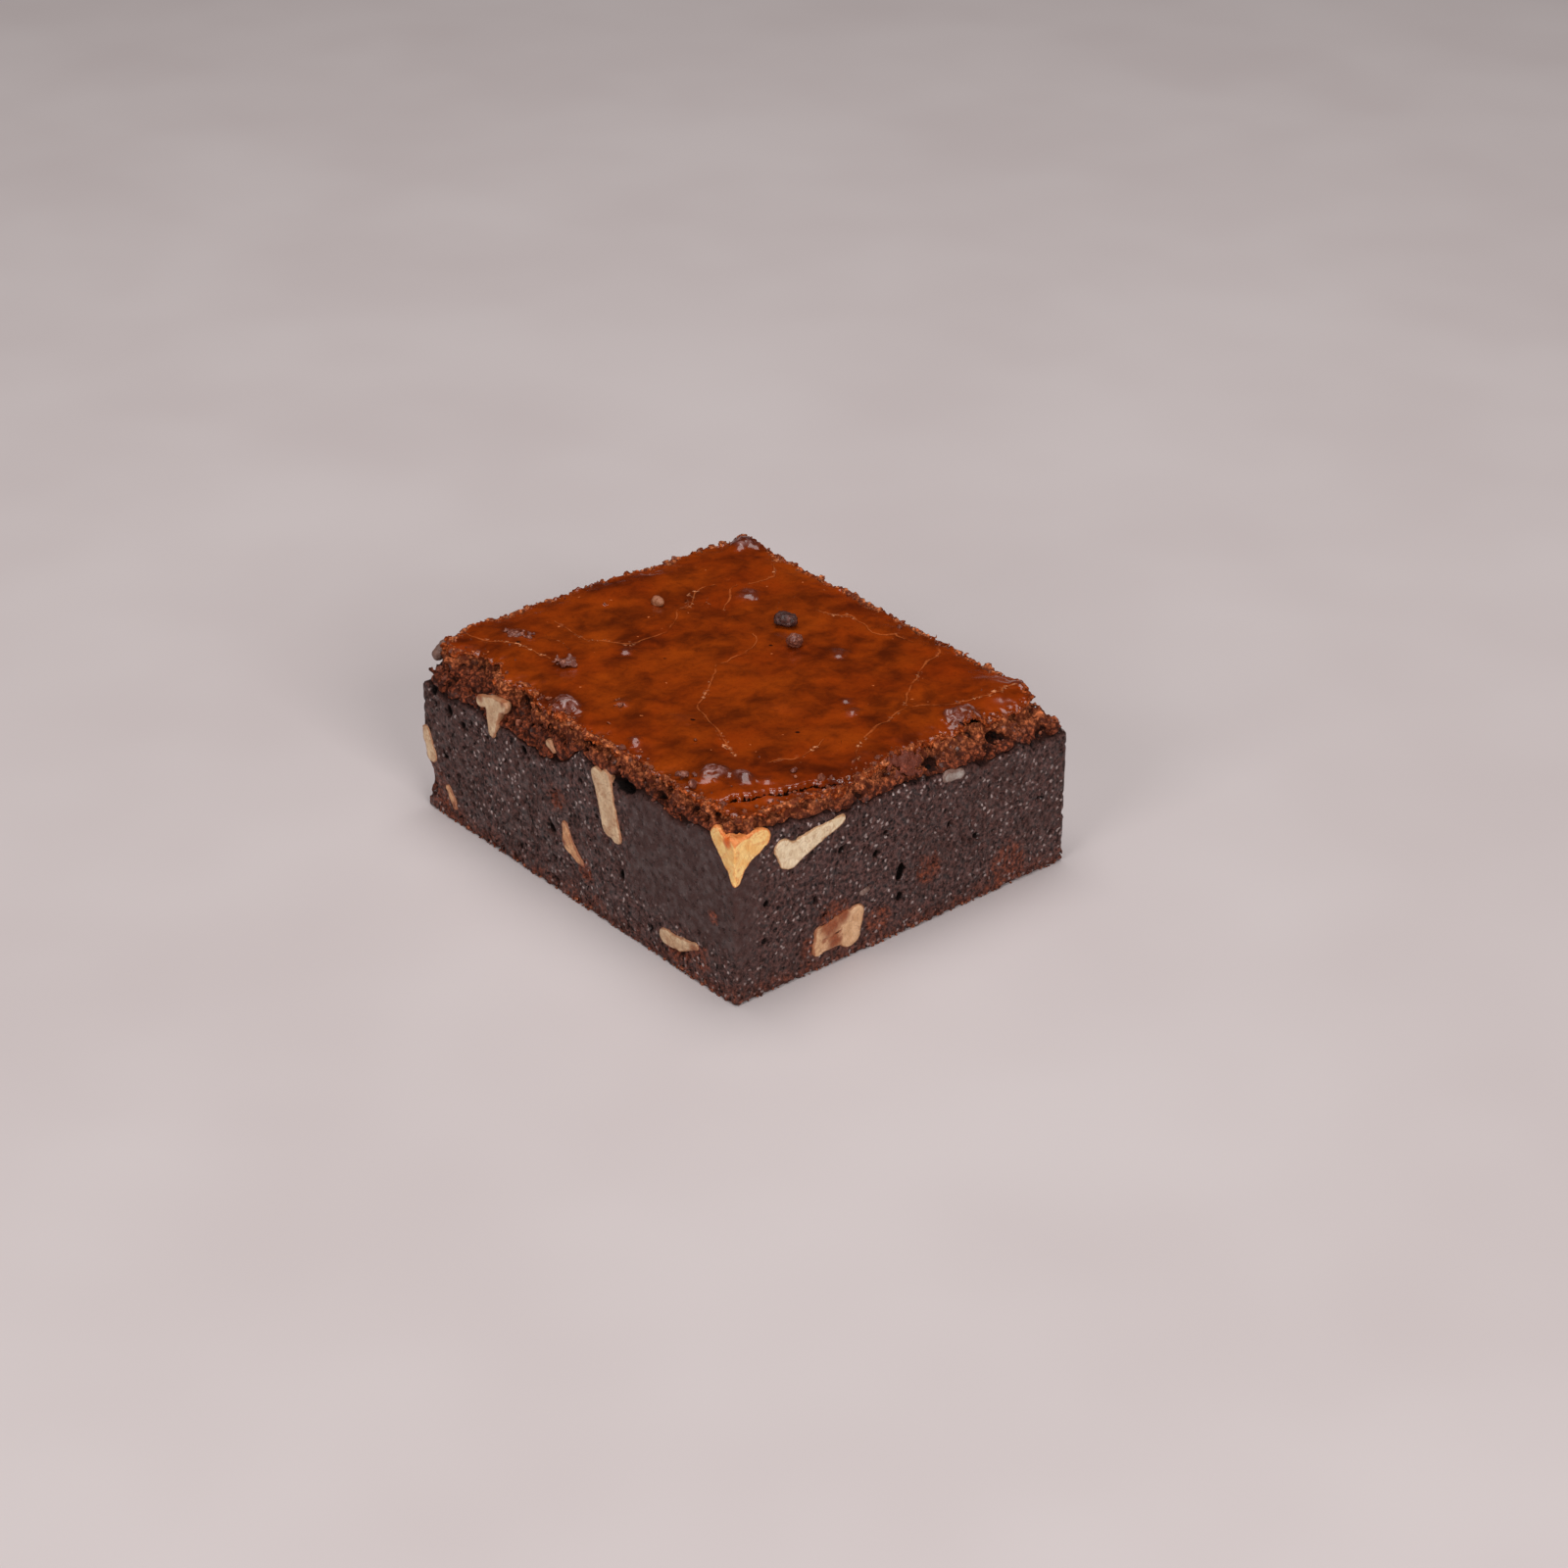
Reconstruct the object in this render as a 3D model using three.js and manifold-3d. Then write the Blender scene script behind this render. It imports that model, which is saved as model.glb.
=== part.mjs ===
// A chocolate walnut brownie, cut square from a tray bake and resting on its
// flat underside. Millimetres, +Z up, origin at the middle of the underside.
//
// The crumb block is one solid: a box whose sides are knife-cut faces and
// whose top is a thin baked crust that breaks away in rubble along the rim.
// Each piece of walnut that shows in the crumb is a solid of its own, and it
// sits in a pocket with a little air round it.

import * as THREE from "three";
import { mergeVertices } from "three/addons/utils/BufferGeometryUtils.js";
import Module from "manifold-3d";

const wasm = await Module();
wasm.setup();

// ---- Driving dimensions --------------------------------------------------

const LENGTH = 75; // long side, along X
const WIDTH = 63; // short side, along Y

// The bake is thicker at the front-right corner than at the other three.
const HEIGHT_FRONT_LEFT = 28.6;
const HEIGHT_FRONT_RIGHT = 29.9;
const HEIGHT_BACK_LEFT = 27.6;
const HEIGHT_BACK_RIGHT = 26.5;

const RIM_BAND = 6; // height of the broken band under the crust's edge
const RIM_SETBACK = 1.7; // how far the crust's edge stands in from the cut face
const RIM_WIDTH = 5; // how far the rim's rounding reaches in over the top
const SETBACK_REACH = 9; // how far in the crust gives way to its own setback
const RIM_DROP = 1.1; // how much lower the crust's edge lies than the middle
const CUT_ROUGHNESS = 0.2; // unevenness of the knife-cut faces
const RIM_ROUGHNESS = 0.9; // unevenness of the broken band
const CRUST_WAVE = 0.32; // slow rise and fall of the crust

const POCKET_GAP = 0.42; // air between a nut and the crumb round it
const NUT_GRAIN = 0.16; // unevenness of a nut's skin

const FOOT = 1; // spare depth under the block, trimmed off flat

const CELLS_X = 34;
const CELLS_Y = 28;
const CELLS_Z = 9;

const LEFT_FACE = -WIDTH / 2; // the cut face that looks along -Y
const RIGHT_FACE = LENGTH / 2; // the cut face that looks along +X

// ---- Small number helpers ------------------------------------------------

const clamp01 = (t) => Math.min(1, Math.max(0, t));
const mix = (from, to, t) => from + (to - from) * t;

function smooth(t) {
  const s = clamp01(t);
  return s * s * (3 - 2 * s);
}

function latticeValue(i, j, k) {
  let h = Math.imul(i, 374761393) + Math.imul(j, 668265263) + Math.imul(k, 1440662683);
  h = Math.imul(h ^ (h >>> 13), 1274126177);
  return ((h ^ (h >>> 16)) >>> 0) / 2147483647.5 - 1;
}

// Smooth random values between -1 and 1 that are the same on every run.
function noise(x, y, z) {
  const [i, j, k] = [Math.floor(x), Math.floor(y), Math.floor(z)];
  const [u, v, w] = [smooth(x - i), smooth(y - j), smooth(z - k)];
  const row = (b, c) => mix(latticeValue(i, j + b, k + c), latticeValue(i + 1, j + b, k + c), u);
  return mix(mix(row(0, 0), row(1, 0), v), mix(row(0, 1), row(1, 1), v), w);
}

function roughness(x, y, z, grain) {
  const coarse = noise(x / grain, y / grain, z / grain);
  const fine = noise(x / grain * 2 + 9, y / grain * 2 + 5, z / grain * 2 + 3);
  return 0.65 * coarse + 0.35 * fine;
}

// ---- From three.js geometry to solids and back ---------------------------

function bareGeometry(geometry) {
  geometry.deleteAttribute("normal");
  geometry.deleteAttribute("uv");
  return mergeVertices(geometry, 1e-3);
}

function toSolid(geometry) {
  const mesh = new wasm.Mesh({
    numProp: 3,
    vertProperties: new Float32Array(geometry.attributes.position.array),
    triVerts: new Uint32Array(geometry.index.array),
  });
  return new wasm.Manifold(mesh);
}

function toGeometry(solid) {
  const mesh = solid.getMesh();
  const geometry = new THREE.BufferGeometry();
  geometry.setAttribute("position", new THREE.BufferAttribute(mesh.vertProperties, 3));
  geometry.setIndex(new THREE.BufferAttribute(mesh.triVerts, 1));
  return geometry;
}

// Moves every vertex of a geometry to the place that the function gives it.
function reshape(geometry, place) {
  const positions = geometry.attributes.position;
  for (let n = 0; n < positions.count; n += 1) {
    const [x, y, z] = place(positions.getX(n), positions.getY(n), positions.getZ(n));
    positions.setXYZ(n, x, y, z);
  }
  return geometry;
}

// ---- The top of the bake -------------------------------------------------

// Blisters and lumps in the crust: x, y, radius and height.
const BLISTERS = [
  [23.5, -24.5, 3.2, 1.0],
  [28.0, -20.5, 2.8, 0.8],
  [31.0, 15.5, 3.4, 1.1],
  [-4.0, -27.5, 3.0, 0.9],
  [20.5, 4.0, 2.4, 0.5],
  [5.0, 14.5, 2.2, 0.5],
  [-8.0, 15.0, 2.2, 0.9],
  [-1.0, 11.0, 2.0, 1.1],
  [-15.0, -10.0, 1.9, 0.5],
  [-28.5, -11.5, 2.8, 0.9],
  [-15.5, -21.0, 2.4, 0.8],
  [9.5, -26.5, 1.8, 0.4],
  [-18.5, 19.0, 3.0, 0.5],
  [34.5, 28.0, 2.4, 0.8],
  [-33.0, 28.5, 3.4, 1.0],
  [-31.5, -19.5, 2.6, 0.8],
];

function slabHeight(x, y) {
  const s = x / LENGTH + 0.5;
  const t = y / WIDTH + 0.5;
  const front = mix(HEIGHT_FRONT_LEFT, HEIGHT_FRONT_RIGHT, s);
  const back = mix(HEIGHT_BACK_LEFT, HEIGHT_BACK_RIGHT, s);
  return mix(front, back, t);
}

function blisterRise(x, y) {
  let rise = 0;
  for (const [cx, cy, radius, height] of BLISTERS) {
    const away = Math.hypot(x - cx, y - cy) / radius;
    rise += height * smooth(1.25 - away);
  }
  return rise;
}

// A strip of crust along the front half of the right side has cracked off and
// sunk: 1 on the strip, 0 away from it.
const LEDGE_DROP = 1.5;

function ledge(x, y) {
  const inner = 31.5 + 0.28 * (y + 26);
  return smooth((x - inner) / 1.2) * smooth((y + 31) / 3) * smooth((-9 - y) / 3);
}

// ---- The broken rim ------------------------------------------------------

// How much of the rim has broken away beside a point of the outline: the
// middle of the right side lost most, and the back sides the least.
function rimLoss(x, y) {
  const rightBite = 1.25 * smooth((x - 28) / 6) * smooth((y + 6) / 8);
  const leftBite = 1.1 * smooth((-22 - y) / 6) * smooth(1 - Math.abs(x + 21) / 11);
  const middleBite = 0.6 * smooth((-22 - y) / 6) * smooth(1 - Math.abs(x + 6) / 6);
  return 0.75 + 0.35 * noise(x / 5, y / 5, 4) + rightBite + leftBite + middleBite;
}

// ---- The crumb block -----------------------------------------------------

// Hollows that show as dark places in the faces: centre and half sizes.
const HOLLOWS = [
  [37.8, -0.8, 10.0, 2.4, 0.8, 1.6], // upright hole, right face
  [38.2, 4.0, 8.8, 1.6, 1.8, 1.2], // red hollow beside it
  [36.6, 17.5, 23.6, 2.2, 1.4, 1.4], // hole in the broken rim
  [36.8, 5.2, 24.6, 2.0, 1.3, 1.1], // hole by the grey nut chip
  [-24.0, -30.2, 26.0, 2.2, 2.2, 1.0], // gap under the crust, left face
  [-13.0, -30.4, 27.0, 2.6, 2.0, 0.8], // gap under the crust, left face
  [33.0, -31.2, 12.6, 1.3, 0.9, 1.3], // pit near the front corner
  [-35.5, -33.0, 4.6, 3.4, 2.4, 3.6], // torn place at the left corner
];

// Crowds the grid lines towards both ends of a side.
const crowdEdges = (t) => t * 1.25 - 0.25 * t * t * t;
// Crowds the grid lines towards the top of a face.
const crowdTop = (w) => w * 1.4 - 0.4 * w * w;

function crumbPoint(a, b, c) {
  const across = crowdEdges(a);
  const along = crowdEdges(b);
  const rise = crowdTop(c + 0.5);
  const x = across * LENGTH / 2;
  const y = along * WIDTH / 2;
  const onSide = Math.abs(a) > 0.9999 || Math.abs(b) > 0.9999;
  const inX = LENGTH / 2 - Math.abs(x);
  const inY = WIDTH / 2 - Math.abs(y);
  const inFromEdge = Math.min(inX, inY);
  const below = slabHeight(x, y) * (1 - rise);

  // Rim: 1 at the crust's edge, fading down the face and in over the top.
  const loss = rimLoss(x, y);
  const high = smooth(1 - below / RIM_BAND);
  const rim = high * smooth(1 - inFromEdge / RIM_WIDTH);
  const setbackX = RIM_SETBACK * loss * high * smooth(1 - inX / SETBACK_REACH);
  const setbackY = RIM_SETBACK * loss * high * smooth(1 - inY / SETBACK_REACH);

  // Unevenness, outwards on the cut faces and in every direction at the rim.
  const corner = smooth(1 - inX / 4) * smooth(1 - inY / 4);
  const rough = (CUT_ROUGHNESS + RIM_ROUGHNESS * rim) * (1 - 0.7 * corner);
  const outX = onSide ? rough * roughness(x, y, below, 2.6) : 0;
  const outY = onSide ? rough * roughness(x + 40, y, below, 2.6) : 0;
  const faceX = Math.sign(a) * smooth(1 - inX / 2);
  const faceY = Math.sign(b) * smooth(1 - inY / 2);

  const edgeDrop = RIM_DROP * loss * rim * (1 + 0.8 * corner);
  const drop = rise * (edgeDrop + LEDGE_DROP * ledge(x, y));
  const crust = rise * (blisterRise(x, y) + CRUST_WAVE * roughness(x, y, 0, 7));
  const lumps = rise * RIM_ROUGHNESS * 0.5 * rim * (1 - corner) * roughness(x, y, 8, 2.2);
  const z = slabHeight(x, y) * rise + crust + lumps - drop;
  return [
    x - Math.sign(x) * setbackX + faceX * outX,
    y - Math.sign(y) * setbackY + faceY * outY,
    c < -0.4999 ? -FOOT : z,
  ];
}

// The block is made a little too deep and cut off flat at the underside.
function crumbBlock() {
  const box = new THREE.BoxGeometry(2, 2, 1, CELLS_X, CELLS_Y, CELLS_Z);
  const block = toSolid(reshape(bareGeometry(box), crumbPoint));
  const aboveTheTray = new THREE.BoxGeometry(2 * LENGTH, 2 * WIDTH, 80);
  aboveTheTray.translate(0, 0, 40);
  return block.intersect(toSolid(bareGeometry(aboveTheTray)));
}

// ---- Lumps: the building brick of every nut ------------------------------

// An uneven egg: its centre, its half sizes, its turn in degrees about X and
// about Y, and how boxy it is (1 is round, less is squarer).
function lump({ at, half, turnX = 0, turnY = 0, square = 1, detail = 1, grow = 0 }) {
  const ball = bareGeometry(new THREE.IcosahedronGeometry(1, detail));
  const turn = new THREE.Matrix4().makeRotationFromEuler(new THREE.Euler(
    THREE.MathUtils.degToRad(turnX),
    THREE.MathUtils.degToRad(turnY),
    0,
  ));
  const point = new THREE.Vector3();
  const boxy = (t) => Math.sign(t) * Math.abs(t) ** square;
  return toSolid(reshape(ball, (a, b, c) => {
    const grain = NUT_GRAIN * noise(at[0] + a * 2.3, at[1] + b * 2.3, at[2] + c * 2.3);
    const size = half.map((h) => h + grow + grain);
    point.set(boxy(a) * size[0], boxy(b) * size[1], boxy(c) * size[2]);
    point.applyMatrix4(turn);
    return [at[0] + point.x, at[1] + point.y, at[2] + point.z];
  }));
}

function lumpsJoined(lumps, grow) {
  const solids = lumps.map((options) => lump({ ...options, grow }));
  return solids.reduce((whole, solid) => whole.add(solid));
}

// The knife went through nuts and crumb alike, so a nut ends flat at the cut
// faces, standing proud of the crumb by a hair.
const NUT_PROUD = 0.1;

function cutBlock() {
  const box = new THREE.BoxGeometry(LENGTH + 2 * NUT_PROUD, WIDTH + 2 * NUT_PROUD, 80);
  return toSolid(bareGeometry(box));
}

// ---- The walnuts ---------------------------------------------------------

const CREAM = 0xc9b591;
const GOLD = 0xdca556;
const SKIN = 0xa9713f;
const GREY = 0x8f877f;

const WALNUTS = [
  {
    name: "walnut_t_piece",
    colour: CREAM,
    lumps: [
      { at: [-19.2, LEFT_FACE + 1.6, 25.0], half: [3.7, 1.8, 1.3], turnY: 14 },
      { at: [-18.5, LEFT_FACE + 1.4, 22.3], half: [1.4, 1.9, 3.4], turnY: -10 },
    ],
  },
  {
    name: "walnut_left_edge",
    colour: CREAM,
    lumps: [{ at: [-36.2, LEFT_FACE + 1.3, 11.1], half: [1.9, 2.1, 3.3], turnY: -14 }],
  },
  {
    name: "walnut_rim_speck",
    colour: CREAM,
    lumps: [{ at: [-4.5, LEFT_FACE + 0.9, 23.6], half: [1.0, 1.2, 1.0] }],
  },
  {
    name: "walnut_long_slice",
    colour: CREAM,
    lumps: [
      {
        at: [8.3, LEFT_FACE + 1.3, 19.4],
        half: [2.5, 2.4, 6.5],
        turnY: -20,
        square: 0.75,
        detail: 2,
      },
    ],
  },
  {
    name: "walnut_skinned_sliver",
    colour: SKIN,
    lumps: [
      { at: [-0.6, LEFT_FACE + 1.0, 10.2], half: [1.5, 1.7, 3.4], turnY: -30 },
      { at: [1.5, LEFT_FACE + 1.0, 7.9], half: [0.9, 1.5, 2.4], turnY: -42 },
    ],
  },
  {
    name: "walnut_hollow_chip",
    colour: SKIN,
    lumps: [{ at: [-30.6, LEFT_FACE + 0.8, 4.0], half: [0.8, 1.2, 2.3], turnY: -28 }],
  },
  {
    name: "walnut_low_curl",
    colour: CREAM,
    lumps: [
      { at: [22.2, LEFT_FACE + 1.0, 4.3], half: [1.9, 1.6, 1.5] },
      { at: [25.0, LEFT_FACE + 1.0, 5.0], half: [2.3, 1.6, 1.1], turnY: -8 },
      { at: [28.0, LEFT_FACE + 1.1, 5.6], half: [1.6, 1.5, 1.2] },
    ],
  },
  {
    name: "walnut_front_corner",
    colour: GOLD,
    lumps: [
      { at: [35.0, LEFT_FACE + 1.9, 25.0], half: [2.9, 2.4, 2.3], turnY: 12, square: 0.8 },
      { at: [RIGHT_FACE - 1.6, -28.0, 24.9], half: [2.3, 3.2, 2.0], turnX: -10, square: 0.8 },
      { at: [RIGHT_FACE - 1.5, LEFT_FACE + 1.5, 23.1], half: [2.4, 2.4, 3.9] },
    ],
  },
  {
    name: "walnut_pale_diagonal",
    colour: CREAM,
    lumps: [
      { at: [RIGHT_FACE - 1.2, -22.3, 21.0], half: [2.0, 2.4, 2.4] },
      { at: [RIGHT_FACE - 1.1, -17.6, 22.2], half: [1.8, 4.0, 1.4], turnX: 18 },
      { at: [RIGHT_FACE - 1.1, -13.2, 23.2], half: [1.4, 2.0, 0.9], turnX: 12 },
    ],
  },
  {
    name: "walnut_two_lobes",
    colour: CREAM,
    lumps: [
      { at: [RIGHT_FACE - 0.9, -16.2, 4.8], half: [1.6, 1.1, 2.4], turnX: -12 },
      { at: [RIGHT_FACE - 1.3, -9.9, 4.9], half: [2.2, 2.2, 3.5], turnX: -14 },
      { at: [RIGHT_FACE - 1.7, -12.8, 5.6], half: [1.8, 3.6, 2.5] },
    ],
  },
  {
    name: "walnut_grey_chip",
    colour: GREY,
    lumps: [{ at: [RIGHT_FACE - 1.9, 8.8, 22.4], half: [1.8, 2.4, 1.1], turnX: -12 }],
  },
  {
    name: "walnut_fleck",
    colour: GREY,
    lumps: [{ at: [RIGHT_FACE - 0.5, -7.7, 9.6], half: [0.8, 1.1, 0.5] }],
  },
  {
    name: "walnut_top_chip",
    colour: SKIN,
    lumps: [{ at: [-24.0, 3.6, 28.4], half: [1.3, 1.1, 0.9] }],
  },
  {
    name: "walnut_shoulder_chip",
    colour: GREY,
    lumps: [{ at: [-36.2, -28.2, 25.9], half: [1.1, 1.5, 1.4] }],
  },
];

// ---- Putting it together -------------------------------------------------

function foodMesh(name, solid, colour, finish) {
  const material = new THREE.MeshStandardMaterial({
    color: colour,
    roughness: finish,
    metalness: 0,
  });
  const mesh = new THREE.Mesh(toGeometry(solid), material);
  mesh.name = name;
  return mesh;
}

const group = new THREE.Group();
const knife = cutBlock();
let crumb = crumbBlock();

for (const [x, y, z, halfX, halfY, halfZ] of HOLLOWS) {
  crumb = crumb.subtract(lump({ at: [x, y, z], half: [halfX, halfY, halfZ] }));
}
for (const { name, colour, lumps } of WALNUTS) {
  crumb = crumb.subtract(lumpsJoined(lumps, POCKET_GAP));
  group.add(foodMesh(name, lumpsJoined(lumps, 0).intersect(knife), colour, 0.55));
}
group.add(foodMesh("crumb", crumb, 0x352622, 0.75));

// The origin is the middle of the whole piece, seen from above.
const middle = new THREE.Box3().setFromObject(group).getCenter(new THREE.Vector3());
group.position.set(-middle.x, -middle.y, 0);

export default group;
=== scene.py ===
# %% [markdown]
# # A chocolate walnut brownie
#
# A brownie is a dense, moist crumb under a crust as thin as paper. The batter's sugar rises
# and dries into a glossy skin, and the crumb below it stays soft. A knife leaves flat dark
# faces full of small pores, cuts straight through the walnuts, and breaks the brittle skin,
# so that a band of loose, lighter rubble runs round the rim.
#
# The scene starts from the measured model, in metres, and builds the cake round it: the
# crumb, the torn band under the rim, the crust, the walnuts, and the lumps and loose crumbs.

# %% Load the measured model
import math
import random
import time

import bpy
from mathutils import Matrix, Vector


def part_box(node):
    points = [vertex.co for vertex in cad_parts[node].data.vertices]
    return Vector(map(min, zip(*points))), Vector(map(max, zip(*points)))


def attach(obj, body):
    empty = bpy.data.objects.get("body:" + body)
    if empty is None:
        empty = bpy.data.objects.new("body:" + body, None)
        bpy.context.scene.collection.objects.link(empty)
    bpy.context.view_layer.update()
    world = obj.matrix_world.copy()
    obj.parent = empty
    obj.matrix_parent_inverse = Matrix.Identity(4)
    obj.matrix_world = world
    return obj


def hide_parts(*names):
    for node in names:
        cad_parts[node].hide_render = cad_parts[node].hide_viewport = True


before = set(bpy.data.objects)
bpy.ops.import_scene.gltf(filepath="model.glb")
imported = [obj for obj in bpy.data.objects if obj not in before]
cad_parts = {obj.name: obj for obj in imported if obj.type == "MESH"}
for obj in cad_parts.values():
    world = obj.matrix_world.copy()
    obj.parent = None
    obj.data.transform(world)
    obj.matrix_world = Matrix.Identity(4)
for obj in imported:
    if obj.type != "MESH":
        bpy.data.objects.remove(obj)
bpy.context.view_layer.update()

CRUMB_LOW, CRUMB_HIGH = (1000 * Vector(corner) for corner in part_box("crumb"))
print("crumb box in mm:", CRUMB_LOW[:], CRUMB_HIGH[:])

# %% [markdown]
# ## Arithmetic on nodes
#
# The cake's shape and every finish are formulas over space. Blender writes formulas as
# nodes, and long chains of nodes are hard to read, so one small class wraps a socket and
# lets Python's own signs add the Math nodes, for shapes and for colours.


# %% A socket that can be added, multiplied and compared
class Sock:
    def __init__(self, socket):
        self.socket = socket
        self.tree = socket.id_data

    @staticmethod
    def make(tree, kind, settings=None, inputs=None, output=0):
        """Adds a node of any kind: its settings first, then its sockets' values or links."""
        node = tree.nodes.new(kind)
        for name, value in (settings or {}).items():
            setattr(node, name, value)
        sockets = {socket.identifier: socket for socket in node.inputs}
        for name, value in (inputs or {}).items():
            socket = sockets[name] if name in sockets else node.inputs[name]
            if isinstance(value, Sock):
                tree.links.new(value.socket, socket)
            else:
                socket.default_value = value
        return Sock(node.outputs[output])

    def math(self, operation, *others, clamp=False):
        inputs = dict(enumerate((self, *others)))
        settings = {"operation": operation, "use_clamp": clamp}
        return Sock.make(self.tree, "ShaderNodeMath", settings, inputs)

    def __add__(self, other):
        return self.math("ADD", other)

    __radd__ = __add__

    def __mul__(self, other):
        return self.math("MULTIPLY", other)

    __rmul__ = __mul__

    def __sub__(self, other):
        return self.math("SUBTRACT", other)

    def __rsub__(self, other):
        return (self * -1.0).math("ADD", other)

    def __neg__(self):
        return self * -1.0

    def __truediv__(self, other):
        return self.math("DIVIDE", other)

    def __abs__(self):
        return self.math("ABSOLUTE")

    def __gt__(self, other):
        return self.math("GREATER_THAN", other)

    def __lt__(self, other):
        return self.math("LESS_THAN", other)


# %% [markdown]
# ## Words for shapes and patterns
#
# A few helpers read like the things they do. `rise(v, a, b)` goes smoothly from 0 at `a` to
# 1 at `b`. `ripple` is soft noise round zero whose lumps are as wide as the size it is
# given, and `cells` scatters points and tells how far away the nearest one is.


# %% Helpers for fields
def larger(a, b):
    return a.math("MAXIMUM", b)


def smaller(a, b):
    return a.math("MINIMUM", b)


def rise(value, start, end):
    ends = {"From Min": start, "From Max": end, "To Min": 0.0, "To Max": 1.0}
    settings = {"interpolation_type": "SMOOTHSTEP"}
    return Sock.make(value.tree, "ShaderNodeMapRange", settings, {"Value": value, **ends})


def blend(a, b, share):
    """a where share is 0 and b where it is 1."""
    return share * b + (1.0 - share) * a


def split(vector):
    node = vector.tree.nodes.new("ShaderNodeSeparateXYZ")
    vector.tree.links.new(vector.socket, node.inputs[0])
    return [Sock(socket) for socket in node.outputs]


def join(x, y, z):
    return Sock.make(x.tree, "ShaderNodeCombineXYZ", None, {"X": x, "Y": y, "Z": z})


def vector_math(vector, operation, other, output=0):
    inputs = {0: vector, "Scale" if operation == "SCALE" else 1: other}
    settings = {"operation": operation}
    return Sock.make(vector.tree, "ShaderNodeVectorMath", settings, inputs, output)


def moved(vector, x, y, z):
    return vector_math(vector, "ADD", (x, y, z))


def flattened(vector):
    """The same place seen from above, without its height."""
    return vector_math(vector, "MULTIPLY", (1.0, 1.0, 0.0))


def length(vector):
    return vector_math(vector, "LENGTH", (0.0, 0.0, 0.0), 1)


def dot(vector, other):
    return vector_math(vector, "DOT_PRODUCT", other, 1)


def stirred(vector, size, amount):
    """The place pushed about at random, so that round things become ragged."""
    inputs = {"Vector": vector, "Scale": 1.0 / size, "Detail": 1.0}
    noise = Sock.make(vector.tree, "ShaderNodeTexNoise", None, inputs, 1)
    push = vector_math(moved(noise, -0.5, -0.5, -0.5), "SCALE", 4.0 * amount)
    return vector_math(vector, "ADD", push)


def ripple(vector, size, detail=2.0, rough=0.5):
    inputs = {"Vector": vector, "Scale": 1.0 / size, "Detail": detail, "Roughness": rough}
    noise = Sock.make(vector.tree, "ShaderNodeTexNoise", None, inputs)
    return (noise - 0.5) * 4.0


def cells(vector, size):
    """(distance to the nearest scattered point in mm, a random number for that point)."""
    inputs = {"Vector": vector, "Scale": 1.0 / size, "Randomness": 1.0}
    near = Sock.make(vector.tree, "ShaderNodeTexVoronoi", None, inputs)
    colour = Sock(near.socket.node.outputs["Color"])
    return near * size, split(colour)[0]


# %% [markdown]
# ## Solids from a formula
#
# Crumb is riddled with pores and overhangs. A smooth block could be displaced, but
# displacement can't undercut. So each piece is a formula that is above zero inside the cake,
# sampled on a fine grid of voxels, and Blender wraps a mesh round the boundary. The grid is
# fine enough for pores half a millimetre wide, and anything finer is left to the finish.


# %% Wrap a mesh round a formula
# Where the boundary is flat within this share of a voxel, faces are merged into larger ones.
FLATNESS = 0.012
VECTOR_MARKS = ("crack",)
# A distance in mm past everything.
FAR = 99.0


def place_in_mm(tree):
    position = Sock.make(tree, "GeometryNodeInputPosition")
    return vector_math(position, "SCALE", 1000.0)


def only_large_islands(tree, mesh, fewest):
    """Drops closed bubbles inside the piece and specks that hang in the air."""
    island = Sock.make(tree, "GeometryNodeInputMeshIsland")
    settings = {"data_type": "INT", "domain": "FACE"}
    inputs = {0: 1, "Group ID": island}
    faces = Sock.make(tree, "GeometryNodeAccumulateField", settings, inputs, 2)
    inputs = {"Geometry": mesh, "Selection": faces < float(fewest)}
    return Sock.make(tree, "GeometryNodeDeleteGeometry", {"domain": "FACE"}, inputs)


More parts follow.
